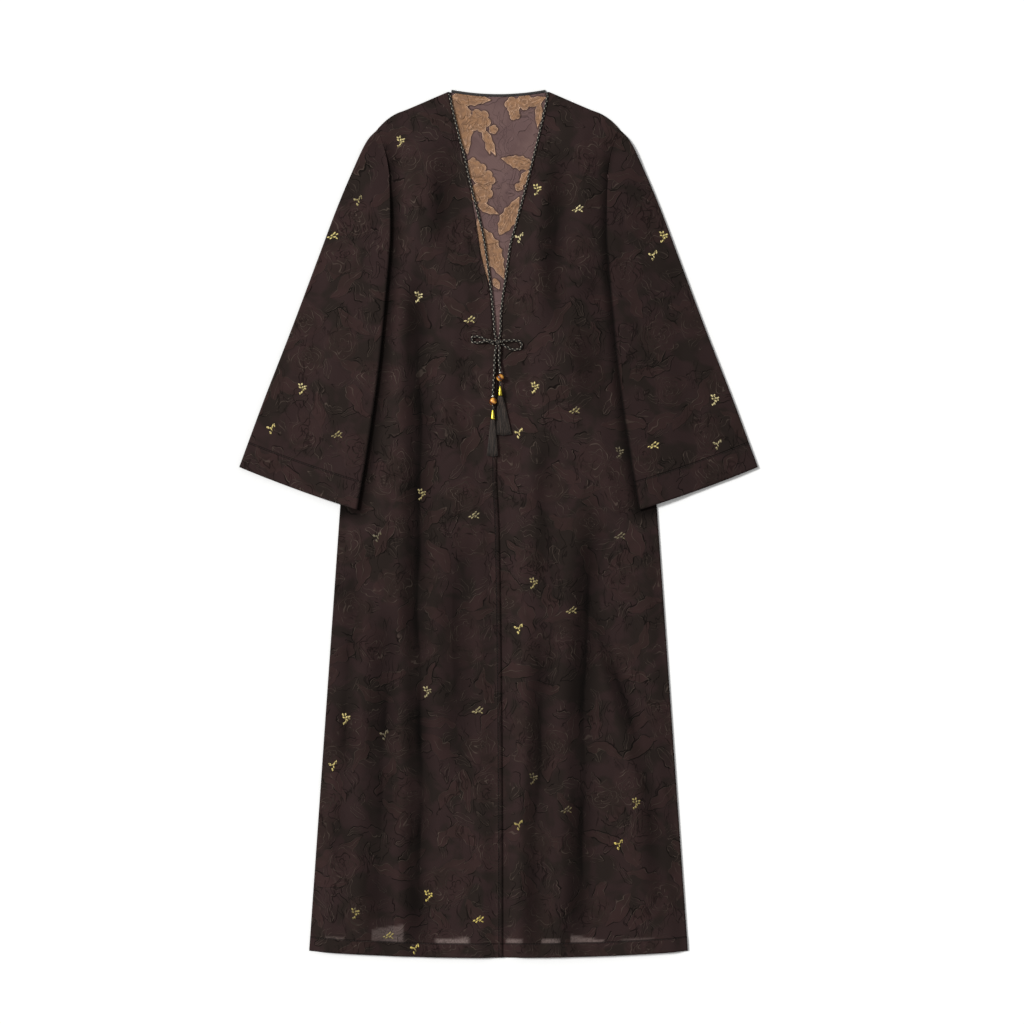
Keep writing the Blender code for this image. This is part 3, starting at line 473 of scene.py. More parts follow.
def jacquard(name, look, figured):
    made, shader, add = newMaterial(name, Roughness=look["roughness"], Sheen_Weight=0.01,
                                    Specular_IOR_Level=0.03)
    place = add("TexCoord").outputs["Object"]
    moved = wandering(add, place, 30.0)
    aside = add("VectorMath", moved, (0.013, 0.031, 0.0), **plus)
    petals, nearHeart = blossomLines(add, moved, roundBlossom)
    longLines, longShade, longInside = leafLines(add, moved, longLeaf)
    smallLines, smallShade, _ = leafLines(add, aside, smallLeaf)
    # Long leaves give way to blossoms, and small leaves to both
    clear = add("Math", 1.0, nearHeart, **minus)
    outside = add("Math", clear, add("Math", 1.0, longInside, **minus), **times)
    longLines, longShade, longInside = [add("Math", part, clear, **times)
                                        for part in (longLines, longShade, longInside)]
    smallLines, smallShade = [add("Math", part, outside, **times) for part in (smallLines, smallShade)]
    lines = add("Math", add("Math", petals, longLines, **larger), smallLines, **larger)
    lines = add("Math", lines, patchy(add, place, 17, 0.36, 0.62), **times)
    shades = add("Math", longShade, smallShade, **larger)
    shades = add("Math", shades, add("Math", petals, 0.8, **times), **larger)
    shades = add("Math", shades, patchy(add, aside, 26, 0.48, 0.62), **times)
    figure = add("Math", longInside, add("Math", nearHeart, 0.6, **times), **larger)
    # Wavy dark threads that run down the cloth in clusters
    drawn = add("VectorMath", moved, (1.0, 0.3, 1.0), **times)
    level = add("Math", add("TexNoise", drawn, 1 / (13 * mm), 2.0, Distortion=0.4), 0.5, **minus)
    threads = add("Math", lineWhere(add, level, 0.004, 0.02), patchy(add, aside, 70, 0.48, 0.6), **times)
    patch = patchy(add, place, look["groundSize"], 0.42, 0.6, detail=2.0, Distortion=0.6)
    colour = add("Mix", patch, look["ground"], look["patch"], **colours)
    layers = [(figure, "filled", "fill"), (lines, "lines", "light"), (shades, "shades", "dark"),
              (threads, "threads", "dark")]
    for mark, amount, tint in layers:
        colour = add("Mix", add("Math", mark, look[amount], **times), colour, look[tint], **colours)
    shades = add("Math", shades, threads, **larger)
    height = add("Math", add("Math", lines, 0.6, **times), add("Math", figure, 0.35, **times), **plus)
    height = add("Math", height, add("Math", shades, 0.5, **times), **minus)
    # Rows of the weave, drawn three times coarser than real ones so that they survive at a distance
    weave = add("TexWave", place, 1 / (9 * mm), 1.5, 1.0, 2.0, bands_direction="DIAGONAL").outputs["Fac"]
    height = add("Math", height, add("Math", weave, 0.08, **times), **plus)
    needed = ("figure", "vein", "crease") if figured else ("sheer", "fromStitch", "fromStrip", "crease")
    marks = {mark: add("Attribute", attribute_name=mark).outputs["Fac"] for mark in needed}
    if figured:
        inside = marks["figure"]
        fill = add("MapRange", inside, -0.3, 0.5, **soft)
        tone = patchy(add, place, 7, 0.4, 0.62, detail=3.0)
        tan = add("Mix", tone, insideFigures["fill"], insideFigures["deep"], **colours)
        shade = lineWhere(add, add("Math", inside, 1.3, **plus), 0.4, 1.3, 0.7)
        colour = add("Mix", fill, colour, tan, **colours)
        colour = add("Mix", shade, colour, insideFigures["shadow"], **colours)
        edge = lineWhere(add, add("Math", inside, 0.5, **minus), 0.35, 1.1)
        rings = thinLines(add, add("Math", inside, 2.0, **plus), insideFigures["ring"], 0.8)
        vein = add("MapRange", marks["vein"], 0.2, 1.0, 0.6, 0.0, **soft)
        vein = add("Math", vein, add("Math", rings, 0.4, **times), **larger)
        rim = add("Math", edge, add("Math", vein, fill, **times), **larger)
        rim = add("Math", rim, patchy(add, place, 11, 0.36, 0.6, 0.12, 0.95), **times)
        colour = add("Mix", rim, colour, insideFigures["outline"], **colours)
        height = add("Math", height, add("Math", add("Math", fill, 0.6, **times), rim, **plus), **plus)
    else:
        thread = patchy(add, place, 2.6, 0.35, 0.6, 0.6, 0.92)
        colour = add("Mix", add("Math", marks["sheer"], thread, **times), colour, sheerPatch, **colours)
        seam = lineWhere(add, marks["fromStitch"], 0.5, 1.4)
        sewn = add("Math", seam, lineWhere(add, marks["fromStrip"], 0.4, 1.1), **larger)
        # Painted shade: the narrow strip along the lapping edge, up to its stitches, is darkened
        paintedStripShade = add("MapRange", marks["fromStrip"], -1.5, 1.0, 0.3, 0.0, **soft)
        colour = add("Mix", paintedStripShade, colour, look["dark"], **colours)
        colour = add("Mix", add("Math", sewn, 0.35, **times), colour, look["dark"], **colours)
        height = add("Math", height, sewn, **minus)
    # Painted shade: the colour goes towards near black in folds, corners and along and beside the sleeves
    join(add("Mix", marks["crease"], colour, outerCloth["dark"], **colours), shader.inputs["Base Color"])
    join(add("Bump", Height=height, Distance=1.5 * mm), shader.inputs["Normal"])
    return made


# Dull silk crepe, whose figures show by their floats, and its paler wrong side with copper weft figures
clothOutside = jacquard("jacquardCloth", outerCloth, False)
clothInside = jacquard("jacquardClothInside", insideCloth, True)


# Figures of the inside that show in the neckline, in millimetres; a leaf runs from its base to its tip
insideLeaves = tableOf("base tip width teeth",
    ((-76.0, 683.0), (-11.0, 678.0), 27, 5), ((-68.0, 690.0), (-49.0, 590.0), 40, 6),
    ((-26.0, 634.0), (-4.0, 588.0), 15, 3), ((-20.0, 612.0), (-13.0, 590.0), 8, 2),
    ((44.0, 670.0), (77.0, 683.0), 17, 3), ((66.0, 676.0), (63.0, 632.0), 13, 3),
    ((58.0, 572.0), (4.0, 585.0), 25, 5), ((49.0, 566.0), (35.0, 538.0), 17, 3),
    ((-34.0, 511.0), (1.0, 495.0), 15, 3), ((2.0, 462.0), (34.0, 524.0), 29, 5),
    ((-27.0, 474.0), (10.0, 390.0), 34, 6), ((-34.0, 490.0), (-13.0, 378.0), 15, 5),
    ((-8.0, 393.0), (2.0, 374.0), 12, 2))
insideFlowers = tableOf("x y radius petals turn",
    (-31.0, 645.0, 19.0, 6, 0.2), (-8.0, 631.0, 7.5, 5, 0.0), (23.0, 671.0, 13.0, 5, 0.7),
    (42.0, 675.0, 13.0, 5, 0.3), (26.0, 655.0, 9.5, 4, 0.5), (33.0, 539.0, 7.0, 4, 0.5),
    (-35.0, 564.0, 17.0, 6, 0.5), (-22.0, 550.0, 17.0, 6, 1.1), (-27.0, 529.0, 18.0, 5, 0.1),
    (-41.0, 578.0, 8.0, 4, 0.1))
figureForm = {"tooth": 0.22, "swell": 0.8, "ribSlope": 0.9, "ribThin": 0.5, "notch": 0.28, "round": 0.6,
              "heart": 0.34, "rays": 0.8, "noRay": 4.0}


def figureMarks(x, y):  # how far inside a figure a point lies, and how far from a vein of it
    limit, notch = noMarks["vein"], figureForm["notch"]
    inside, vein = np.full(np.shape(x), -limit), np.full(np.shape(x), limit)
    for leaf in insideLeaves:
        base, tip = np.array(leaf["base"]), np.array(leaf["tip"])
        length = np.linalg.norm(tip - base)
        ahead = (tip - base) / length
        along = ((x - base[0]) * ahead[0] + (y - base[1]) * ahead[1]) / length
        off = (y - base[1]) * ahead[0] - (x - base[0]) * ahead[1]
        share = np.clip(along, 0.001, 0.999)
        tooth = 1 - figureForm["tooth"] * np.abs(np.sin(share * math.pi * leaf["teeth"]))
        half = leaf["width"] / 2 * np.sin(math.pi * share ** figureForm["swell"]) * tooth
        past = np.maximum(np.maximum(-along, along - 1), 0) * length
        depth = half - np.abs(off) - past
        pitch = length / (leaf["teeth"] + 1)
        rib = np.abs((along * length - figureForm["ribSlope"] * np.abs(off)) / pitch % 1 - 0.5) * pitch
        lines = np.minimum(np.abs(off), rib + figureForm["ribThin"])
        vein = np.where(depth > inside, lines, vein)
        inside = np.maximum(inside, depth)
    for flower in insideFlowers:
        reach = np.hypot(x - flower["x"], y - flower["y"])
        angle = np.arctan2(y - flower["y"], x - flower["x"]) + flower["turn"]
        petal = np.abs(np.cos(angle * flower["petals"] / 2))
        depth = flower["radius"] * (1 - notch + notch * petal ** figureForm["round"]) - reach
        heart = figureForm["heart"] * flower["radius"]
        rays = petal * reach * figureForm["rays"] + figureForm["noRay"] * (reach < heart)
        lines = np.minimum(np.abs(reach - heart), rays)
        vein = np.where(depth > inside, lines, vein)
        inside = np.maximum(inside, depth)
    return np.clip(inside, -limit, limit), np.clip(vein, 0, limit)


# Back panel: flat on the surface, its inside up
backGrid = {"columns": 112, "rows": 372, "crowding": 0.45, "level": 0.1, "wall": 0.8, "cornerY": 430.0,
            "tape": 2.4, "upper": 0.42, "bunching": 1.35, "neckHalf": 77.5, "rest": 0.25, "crinkle": 0.3,
            "hemFold": 22.0, "shadeX": 79.0, "shadeY": 690.0, "shade": 0.95}


def placeBack(across, down):
    middle = 2 * across - 1
    share = (1 - backGrid["crowding"]) * middle + backGrid["crowding"] * middle ** 3
    endX, endY = bodyCut["shoulderEndX"], bodyCut["shoulderEndY"]
    topX = share * endX
    topY = np.where(np.abs(topX) < backGrid["neckHalf"], bindingY(topX) - backGrid["tape"], shoulderY(topX))
    upper = np.clip(down / backGrid["upper"], 0, 1)
    lower = np.clip((down - backGrid["upper"]) / (1 - backGrid["upper"]), 0, 1) ** backGrid["bunching"]
    sideY = endY + upper * (backGrid["cornerY"] - endY) + lower * (bodyCut["hemSideY"] - backGrid["cornerY"])
    x = share * np.where(sideY > endY - 0.01, endX, sideX(sideY))
    y = sideY + (1 - upper) * (topY - endY) + eased(0.6, 1, lower) * (hemY(x) - bodyCut["hemSideY"])
    z = backGrid["rest"] + crinkle(x, y, backGrid["crinkle"])
    z = backGrid["level"] + np.maximum(z, 0) + backGrid["wall"]
    figure, vein = figureMarks(x, y)
    corner = np.hypot(np.abs(x) - backGrid["shadeX"], y - backGrid["shadeY"])
    # Painted shade darkens the cloth in the neckline's two corners
    marks = {"figure": figure, "vein": vein, "fromStitch": y - hemY(x) - backGrid["hemFold"],
             "crease": backGrid["shade"] * (1 - eased(3, 7, corner))}
    return (x, y, z), marks


backPanel = clothPiece("backPanel", backGrid["columns"], backGrid["rows"], placeBack,
                       [clothInside, clothOutside], "jacquard_cloth_inside", "back_panel")
thicken(backPanel, backGrid["wall"], -1.0, 1)
print("back panel made")

# Fronts, row by row: each row's height at the opening and at the side
frontGrid = {"columns": 92, "rows": 400, "hemFold": 22.0, "hemRise": 0.45, "strip": 5.5, "stripRise": 0.35,
             "crinkle": 0.75, "calm": 0.12, "calmTo": 3.0, "shoulderBow": 430.0, "hemBow": -600.0,
             "stripFrom": (262.0, 276.0)}
stitchDip = {"hem": (-1.5, 1.0), "strip": (-1.0, 1.0)}  # the folded cloth ends so far from its stitches
frontRows = {"opening": [690.4, 655, 615, 575, 535, 495, 455, 415, 375, 335, 297, 276, 240, 190, 130, 70, 4,
                         -60, -135, -215, -295, -375, -455, -535, -615, -694.8],
             "side": [632.8, 615, 597, 575, 552, 526, 494, 462, 435, 413.6, 370, 335, 285, 225, 160, 95, 14,
                      -45, -125, -205, -285, -365, -445, -525, -605, -684.0]}
sheerStrips = [  # from x, to x, height above the stitches at each end, how much it shows
    (-204, -150, 20, 31, 0.55), (-102, -46, 8, 12, 1.0), (10, 39, 10, 9, 0.75), (68, 99, 10, 8, 0.75),
    (114, 171, 15, 4, 0.9), (196, 250, 6, 4, 0.35), (-278, -246, 5, 6, 0.4),
]
sleeveGrid = {"columns": 132, "rows": 190, "crinkle": 0.6, "crinkleFrom": (0.1, 0.3), "cuffFold": 32.0,
              "cuffRise": 0.25, "crowding": 1.05, "outerLength": 586.0, "shorter": 51.0, "even": 0.25,
              "edgeShade": 0.93, "edgeFrom": 7.0, "leftShade": 0.25}


def sheerness(x, fromStitch):
    share = 0 * x
    for start, end, startHeight, endHeight, shown in sheerStrips:
        along = (x - start) / (end - start)
        height = startHeight + np.clip(along, 0, 1) * (endHeight - startHeight)
        across = eased(0, 3, x - start) * eased(0, 3, end - x)
        upwards = eased(-0.5, 1.5, fromStitch) * eased(0, 3, height - fromStitch)
        share = np.maximum(share, shown * across * upwards)
    return share


foldShade = {"deepest": 0.98, "reach": 0.55, "soft": 0.75, "uneven": 0.7, "wave": 95.0,
             "waveAcross": 140.0, "steep": 3.0, "fade": 190.0, "edge": 0.35, "wide": 1.2, "low": 0.06,
             "lowY": (-100, 300), "left": 0.06, "leftX": (20, 70), "beside": 0.8, "besideTo": 30.0,
             "armY": 560.0, "overArmY": 632.0, "seed": 9.1, "usual": 0.88, "least": 0.2, "shallow": 1.3}


def shadeOfFolds(x, y):  # painted shade: darker down in a fold and beside the sleeves, and a little towards the hem and on the left front
    share = 0 * x
    for index, trough in enumerate(troughs):
        points = np.stack([np.full(y.size, foldShade["seed"] * index), y.ravel() / foldShade["wave"],
                           x.ravel() / foldShade["waveAcross"]], axis=1)
        waves = np.array([noise.noise(Vector(point)) for point in points]).reshape(y.shape)
        uneven = foldShade["uneven"] * (foldShade["shallow"] - trough["depth"])
        depth = np.clip(foldShade["usual"] + uneven * 2 * waves, foldShade["least"], 1)
        depth = math.sqrt(trough["depth"]) * depth
        fromEdge = trough["lean"] * (x - middleOf(trough, y)) + foldShade["edge"] * trough["half"]
        steep, wide = foldShade["steep"], trough["half"] * foldShade["wide"]
        crisp = eased(-steep, steep, fromEdge) * bell(np.maximum(fromEdge - steep, 0), wide)
        crisp = crisp ** 0.8 * endsOf(trough, y, foldShade["fade"])
        gentle = foldShade["soft"] * troughShare(trough, x, y) ** foldShade["reach"]
        share = np.maximum(share, depth * np.maximum(gentle, crisp))
    beside = foldShade["beside"] * (1 - eased(0, foldShade["besideTo"], offSleeve(x, y))) ** 1.6
    beside = beside * (1 - eased(foldShade["armY"], foldShade["overArmY"], y))
    broad = foldShade["low"] * (1 - eased(*foldShade["lowY"], y))
    broad = broad + foldShade["left"] * eased(*foldShade["leftX"], x)
    return np.maximum(foldShade["deepest"] * share, beside) * (1 - broad) + broad


def placeFront(side):
    def place(across, down):
        rows = {edge: np.array(values) for edge, values in frontRows.items()}
        topY, footY = rows["opening"][0], rows["opening"][-1]
        openingY = topY + down * (footY - topY)
        sideY = np.interp(-openingY, -rows["opening"], rows["side"])
        start, end = openingX(side, openingY), side * sideX(sideY)
        x, y = start + across * (end - start), openingY + across * (sideY - openingY)
        topStart, topEnd = openingX(side, topY), side * sideX(rows["side"][0])
        topX = topStart + across * (topEnd - topStart)
        topChord = topY + across * (rows["side"][0] - topY)
        y = y + eased(frontGrid["shoulderBow"], topY, openingY) * (shoulderY(topX) - topChord)
        hemChord = bodyCut["hemMiddleY"] + across * (bodyCut["hemSideY"] - bodyCut["hemMiddleY"])
        y = y + (1 - eased(bodyCut["hemMiddleY"], frontGrid["hemBow"], openingY)) * (hemY(x) - hemChord)
        raised = puff(side, x, y)
        fromHem, fromOpening = y - hemY(x), np.abs(x - openingX(side, y))
        fromStitch, fromStrip = fromHem - frontGrid["hemFold"], fromOpening - frontGrid["strip"]
        belowBow = 1 - eased(*frontGrid["stripFrom"], y)
        z = cloth["frontLevel"] + raised + lapRise(side, x, y) + cloth["wall"]
        unevenness = frontGrid["calm"] + eased(0, frontGrid["calmTo"], raised)
        z = z + crinkle(x, y, frontGrid["crinkle"]) * unevenness
        z = z + frontGrid["hemRise"] * (1 - eased(*stitchDip["hem"], fromStitch))
        z = z + frontGrid["stripRise"] * (1 - eased(*stitchDip["strip"], fromStrip)) * belowBow
        # the last mark is the painted shade of the folds and beside the sleeves
        marks = {"fromStitch": fromStitch, "fromStrip": fromStrip + noMarks["fromStrip"] * (1 - belowBow),
                 "sheer": sheerness(x, fromStitch), "crease": shadeOfFolds(x, y)}
        return (x, y, z), marks
    return place


fronts = {}
for sideName, side in bothSides.items():
    front = clothPiece("front" + sideName, frontGrid["columns"], frontGrid["rows"], placeFront(side),
                       [clothOutside, clothInside], "jacquard_cloth", "front_" + sideName.lower())
    if side < 0:
        front.data.flip_normals()
    thicken(front, cloth["wall"], -1.0, 1)
    fronts[sideName] = front
    print("front", sideName, "made")


# Sleeves: each a grid rolled round from the fold along the arm, over the top, and back underneath

def sleeveWide(across):  # places across the sleeve, closer together at its two folds
    even = sleeveGrid["even"]
    return even * across + (1 - even) * (0.5 - 0.5 * np.cos(math.pi * across))


def sleeveLength(across):
    return sleeveGrid["outerLength"] - sleeveGrid["shorter"] * across


def placeSleeve(side):
    def place(around, down):
        share = down ** sleeveGrid["crowding"]
        keys = np.linspace(0, 1, len(sleeveCut["outerX"]))
        outerX, outerY, innerX, innerY = [curveThrough(keys, sleeveCut[name], share)
                                          for name in ("outerX", "outerY", "innerX", "innerY")]
        onTop = around < 0.5
        across = sleeveWide(np.where(onTop, 2 * around, 2 - 2 * around))
        width = np.hypot(innerX - outerX, innerY - outerY)
        alongX, alongY = (innerX - outerX) / width, (innerY - outerY) / width
        bow = sleeveForm["cuffBow"] * eased(sleeveForm["bowFrom"], 1, share) * 4 * across * (1 - across)
        x = outerX + alongX * across * width - alongY * bow
        y = outerY + alongY * across * width + alongX * bow
        outerHead, innerHead = [[sleeveCut[fold + axis][0] for axis in "XY"] for fold in ("outer", "inner")]
        headX, headY = [outer + across * (inner - outer) for outer, inner in zip(outerHead, innerHead)]
        toArmhole = sideX(np.minimum(headY, bodyCut["shoulderEndY"])) + sleeveForm["headGap"] - headX
        x = x + toArmhole * (1 - eased(0, sleeveForm["headBlend"], share))
        onBody = 1 - eased(*sleeveForm["onBody"], x - sideX(np.minimum(y, bodyCut["shoulderEndY"])))
        nearHead = 1 - eased(0, sleeveForm["headLength"], share)
        rest = cloth["lapLevel"] * onBody * (1 - nearHead * (1 - eased(*sleeveForm["headRise"], across)))
        clear = sleeveForm["clear"] * eased(0, sleeveForm["clearFrom"], share)
        for fold in sleeveFolds:
            ridge = fold["height"] * bell(across - fold["across"], fold["half"])
            clear = clear + ridge * eased(*sleeveForm["foldsFrom"], share)
        half = np.maximum(clear, sleeveForm["leastClear"]) / 2
        edge = np.minimum(across * width, width - across * width)
        roundness = np.sqrt(1 - (1 - np.clip(edge / sleeveForm["foldRadius"], 0, 1)) ** 2)
        reach = (half + sleeveForm["wall"]) * roundness
        fromStitch = (1 - share) * sleeveLength(across) - sleeveGrid["cuffFold"]
        cuff = sleeveGrid["cuffRise"] * (1 - eased(*stitchDip["hem"], fromStitch))
        upper = crinkle(x, y, sleeveGrid["crinkle"]) * eased(*sleeveGrid["crinkleFrom"], share) + cuff
        z = rest + sleeveForm["wall"] + half + np.where(onTop, reach + upper * roundness, -reach)
        # Painted shade along the sleeve's fold over the body, and over the whole left sleeve
        crease = sleeveGrid["edgeShade"] * eased(sleeveGrid["edgeFrom"], 0, np.abs(width - across * width))
        marks = {"fromStitch": fromStitch, "crease": np.maximum(crease, sleeveGrid["leftShade"] * (side > 0))}
        return (side * x, y, z), marks
    return place


sleeves = {}
for sideName, side in bothSides.items():
    sleeve = clothPiece("sleeve" + sideName, sleeveGrid["columns"], sleeveGrid["rows"], placeSleeve(side),
                        [clothOutside, clothInside], "jacquard_cloth", "sleeve_" + sideName.lower())
    rolled = bmesh.new()
    rolled.from_mesh(sleeve.data)
    bmesh.ops.remove_doubles(rolled, verts=rolled.verts, dist=0.00001)
    bmesh.ops.recalc_face_normals(rolled, faces=rolled.faces)
    rolled.to_mesh(sleeve.data)
    rolled.free()
    sleeve.data.shade_smooth()
    thicken(sleeve, cloth["wall"], -1.0, 1, even=False)
    sleeves[sideName] = sleeve
    print("sleeve", sideName, "made")


# Braided cord: eight plump strands, black with a cream fleck where the light strand comes up
cordLook = {"black": "#0C0A09", "brown": "#1D1916", "cream": "#B4AD9C", "pitch": 4.1, "fleckPitch": 8.0,
            "strands": 4, "relief": 0.14, "sides": 24, "step": 0.55}


def cordHeight(along, turn):
    first = cordLook["strands"] * turn + 2 * along / cordLook["pitch"]
    second = cordLook["strands"] * turn - 2 * along / cordLook["pitch"]
    return math.sqrt(abs(math.sin(math.pi * first) * math.sin(math.pi * second)))


def cordRadiusAt(along, turn):
    return cordRadius * (1 + cordLook["relief"] * (cordHeight(along, turn) - 0.6))


def braidMaterial():
    made, shader, add = newMaterial("braidedCord", Roughness=0.7, Specular_IOR_Level=0.3)
    around, along, _ = add("SeparateXYZ", add("UVMap", uv_map="wrap")).outputs
    turned = add("Math", around, float(cordLook["strands"]), **times)
    moved = add("Math", along, 2 / cordLook["pitch"], **times)
    ways = [add("Math", turned, moved, **way) for way in (plus, minus)]
    rise = [add("Math", add("Math", way, math.pi, **times), **sine) for way in ways]
    strand = add("Math", add("Math", *rise, **times), **unsigned)
    strand = add("Math", strand, operation="SQRT")
    # Four rows of flecks round the cord, each row half a step on from the next
    rows = add("Math", add("Math", around, 4.0, **times), 0.5, **plus)
    shift = add("Math", add("Math", rows, 0.5, **plus), operation="FLOOR")
    steps = add("Math", along, cordLook["fleckPitch"], **over)
    steps = add("Math", steps, add("Math", shift, 0.5, **times), **plus)
    narrow = add("MapRange", add("Math", rows, 0.5, **toAndFro), 0.12, 0.25, 1.0, 0.0, **soft)
    short = add("MapRange", add("Math", steps, 0.5, **toAndFro), 0.12, 0.19, 1.0, 0.0, **soft)
    # Painted shade: the braid is black down between its strands and browner on their crowns
    ground = add("Mix", strand, cordLook["black"], cordLook["brown"], **colours)
    colour = add("Mix", add("Math", narrow, short, **times), ground, cordLook["cream"], **colours)
    join(colour, shader.inputs["Base Color"])
    join(add("Bump", Height=strand, Distance=0.25 * mm), shader.inputs["Normal"])
    return made


braidedCord = braidMaterial()  # matt cotton braid with pale flecks

# Bow and tie ends, from the knot outwards
bowRoutes = {
    "bowLoopRight": [(-6.9, 290.8, 9.8), (-12.0, 292.4, 9.9), (-17.6, 292.2, 10.3), (-23.6, 291.0, 8.4),
                     (-31.0, 289.6, 6.4), (-38.0, 289.4, 6.3), (-42.6, 291.8, 6.3), (-42.8, 296.2, 6.3),
                     (-38.4, 299.2, 6.3), (-31.4, 298.6, 6.3), (-24.4, 296.0, 6.3), (-17.8, 292.6, 6.3),
                     (-12.0, 288.6, 6.3), (-6.9, 287.8, 6.9)],
    "bowLoopLeft": [(5.2, 291.0, 9.8), (9.8, 292.4, 9.0), (16.6, 292.4, 7.4), (24.8, 292.9, 5.6),
                    (32.4, 291.8, 4.9), (37.0, 287.6, 4.8), (36.4, 281.8, 4.8), (31.4, 278.4, 4.8),
                    (24.8, 278.0, 4.8), (17.6, 280.2, 5.2), (10.8, 283.9, 6.0), (5.0, 287.2, 6.4)],
    "tieEndRight": [(-3.6, 284.9, 7.0), (-4.9, 276.0, 6.3), (-6.1, 256.0, 6.3), (-7.2, 234.4, 6.3),
                    (-8.2, 218.0, 7.0), (-8.9, 210.0, 9.2), (-9.0, 205.9, 10.1)],
    "tieEndLeft": [(1.5, 284.9, 7.2), (1.6, 276.0, 6.6), (0.9, 264.8, 6.4), (1.4, 255.0, 6.9),
                   (2.4, 248.6, 8.2), (2.7, 243.8, 8.9)],
}
knotWinding = {"x": -0.8, "y": 289.6, "z": 8.2, "reachY": 3.1, "reachZ": 2.2, "width": 6.2, "turns": 2.2}


def addCord(name, route, node, step=cordLook["step"]):
    path = smoothRoute(route, step)
    tube = bmesh.new()
    addTube(tube, path, cordRadiusAt, cordLook["sides"])
    return addPiece(name, tube, [braidedCord], "braided_cord", node), path


addCord("neckCordRight", neckCordRight, "neck_cord_right")
addCord("neckCordLeft", neckCordLeft, "neck_cord_left")
winding = []
for place in np.linspace(0, 1, 60):
    angle = 2 * math.pi * knotWinding["turns"] * place + 0.6
    winding.append((knotWinding["x"] + (place - 0.5) * knotWinding["width"],
                    knotWinding["y"] + knotWinding["reachY"] * math.cos(angle),
                    knotWinding["z"] + knotWinding["reachZ"] * math.sin(angle)))
addCord("bowKnot", winding, "bow_knot", 0.5)
for name, route in bowRoutes.items():
    node = {"bowLoopRight": "bow_loop_right", "bowLoopLeft": "bow_loop_left",
            "tieEndRight": "tie_end_right", "tieEndLeft": "tie_end_left"}[name]
    addCord(name, route, node)
print("cords made")

# Bias tape at the back neck
tapeLook = {"size": 3.0, "detail": 2.0, "colours": ("#131110", "#221D1A"), "relief": 0.15}
tapeMaterial = twoToned("blackTape", tapeLook, Roughness=0.7, Sheen_Weight=0.15)  # dull black cotton tape
tapePath = [(x, float(bindingY(x)), 0.0) for x in np.linspace(-binding["half"], binding["half"], 90)]
tape = bmesh.new()
addTube(tape, tapePath, binding["radius"], 16)
bmesh.ops.scale(tape, vec=(1, 1, binding["flatness"]), verts=tape.verts)
bmesh.ops.translate(tape, vec=(0, 0, binding["radius"] * binding["flatness"] * mm), verts=tape.verts)
addPiece("neckBinding", tape, [tapeMaterial], "black_tape", "neck_binding")

# Beads, caps and tassels of the two ends: each hangs a hair's breadth below the one before
hangingEnds = {
    "Right": {"x": -9.0, "spacerY": 203.4, "beadZ": 10.3, "stemZ": 9.4, "headZ": 8.3, "restZ": 4.7,
              "lean": -0.6, "spread": 18.0, "footY": 105.6},
    "Left": {"x": 2.7, "spacerY": 241.3, "beadZ": 9.1, "stemZ": 8.4, "headZ": 7.2, "restZ": 3.2,
             "lean": 5.2, "spread": 27.0, "footY": 139.6},
}
bead = {"spacer": 2.15, "stone": 5.75, "hole": 0.8, "gap": 0.3}
linkLength = 8.0
capTurning = [(0.0, 7.4), (1.2, 7.5), (1.45, 8.2), (1.7, 9.0), (2.1, 11.0), (2.6, 14.0), (3.1, 17.5),
              (3.35, 20.0), (3.45, 20.4), (3.8, 20.8), (3.85, 21.9), (3.6, 22.5), (3.0, 22.4), (2.8, 20.8),
              (0.0, 20.6)]
tasselForm = {"headWidth": 6.2, "headHeight": 4.8, "strands": 200, "thick": 0.3, "rows": 13, "layers": 5,
              "sides": 4, "uneven": 1.2, "layerRise": 0.62, "tuck": 1.6, "sway": 1.2, "footRise": 1.5,
              "footCurve": 2.0, "wave": 0.45, "waves": 5.5, "shift": 9.0, "loose": 0.25, "narrow": 0.6,
              "downTo": 0.45, "fan": 0.85}
linkRadius = 1.15
capHeight = 22.5

silverLook = {"size": 1.2, "detail": 2.0, "colours": ("#D8D5CC", "#A9A59B")}
silver = twoToned("silveredMetal", silverLook, Metallic=1.0, Roughness=0.26)  # bright, a little tarnished
giltLook = {"size": 1.6, "detail": 2.0, "colours": ("#DCCB4A", "#9C8A2A")}
gilt = twoToned("giltMetal", giltLook, Metallic=1.0, Roughness=0.3)  # yellow gilding, darker where handled
rayonLook = {"size": 1.0, "detail": 1.0, "colours": ("#181310", "#3E332C"), "stretch": (1.0, 0.04, 1.0)}
tasselThread = twoToned("tasselThread", rayonLook, Roughness=0.6, Sheen_Weight=0.08,
                        Specular_IOR_Level=0.25)  # dark lustrous rayon, streaked along its strands
stone, shader, add = newMaterial("bandedStone", Roughness=0.28, Coat_Weight=0.15)  # polished brown and gold
bands = add("TexWave", add("TexCoord").outputs["Object"], 1 / (22 * mm), 3.5, 2.0, 1.6,
            bands_direction="DIAGONAL").outputs["Fac"]
banded = add("Mix", add("MapRange", bands, 0.15, 0.6, **soft), "#3A1D0C", "#B0651A", **colours)
banded = add("Mix", add("MapRange", bands, 0.62, 0.92, **soft), banded, "#E2A548", **colours)
join(banded, shader.inputs["Base Color"])


def addTurned(name, profile, place, material, slot, node):  # (radius, down) spun round the line of the cord
    turned = bmesh.new()
    points = [turned.verts.new((radius * mm, -down * mm, 0)) for radius, down in profile]
    edges = [turned.edges.new(pair) for pair in zip(points, points[1:])]
    bmesh.ops.spin(turned, geom=points + edges, cent=(0, 0, 0), axis=(0, 1, 0), angle=2 * math.pi, steps=40,
                   use_merge=True)
    bmesh.ops.remove_doubles(turned, verts=turned.verts, dist=0.000005)
    bmesh.ops.recalc_face_normals(turned, faces=turned.faces)
    bmesh.ops.translate(turned, vec=Vector(place) * mm, verts=turned.verts)
    return addPiece(name, turned, [material], slot, node)


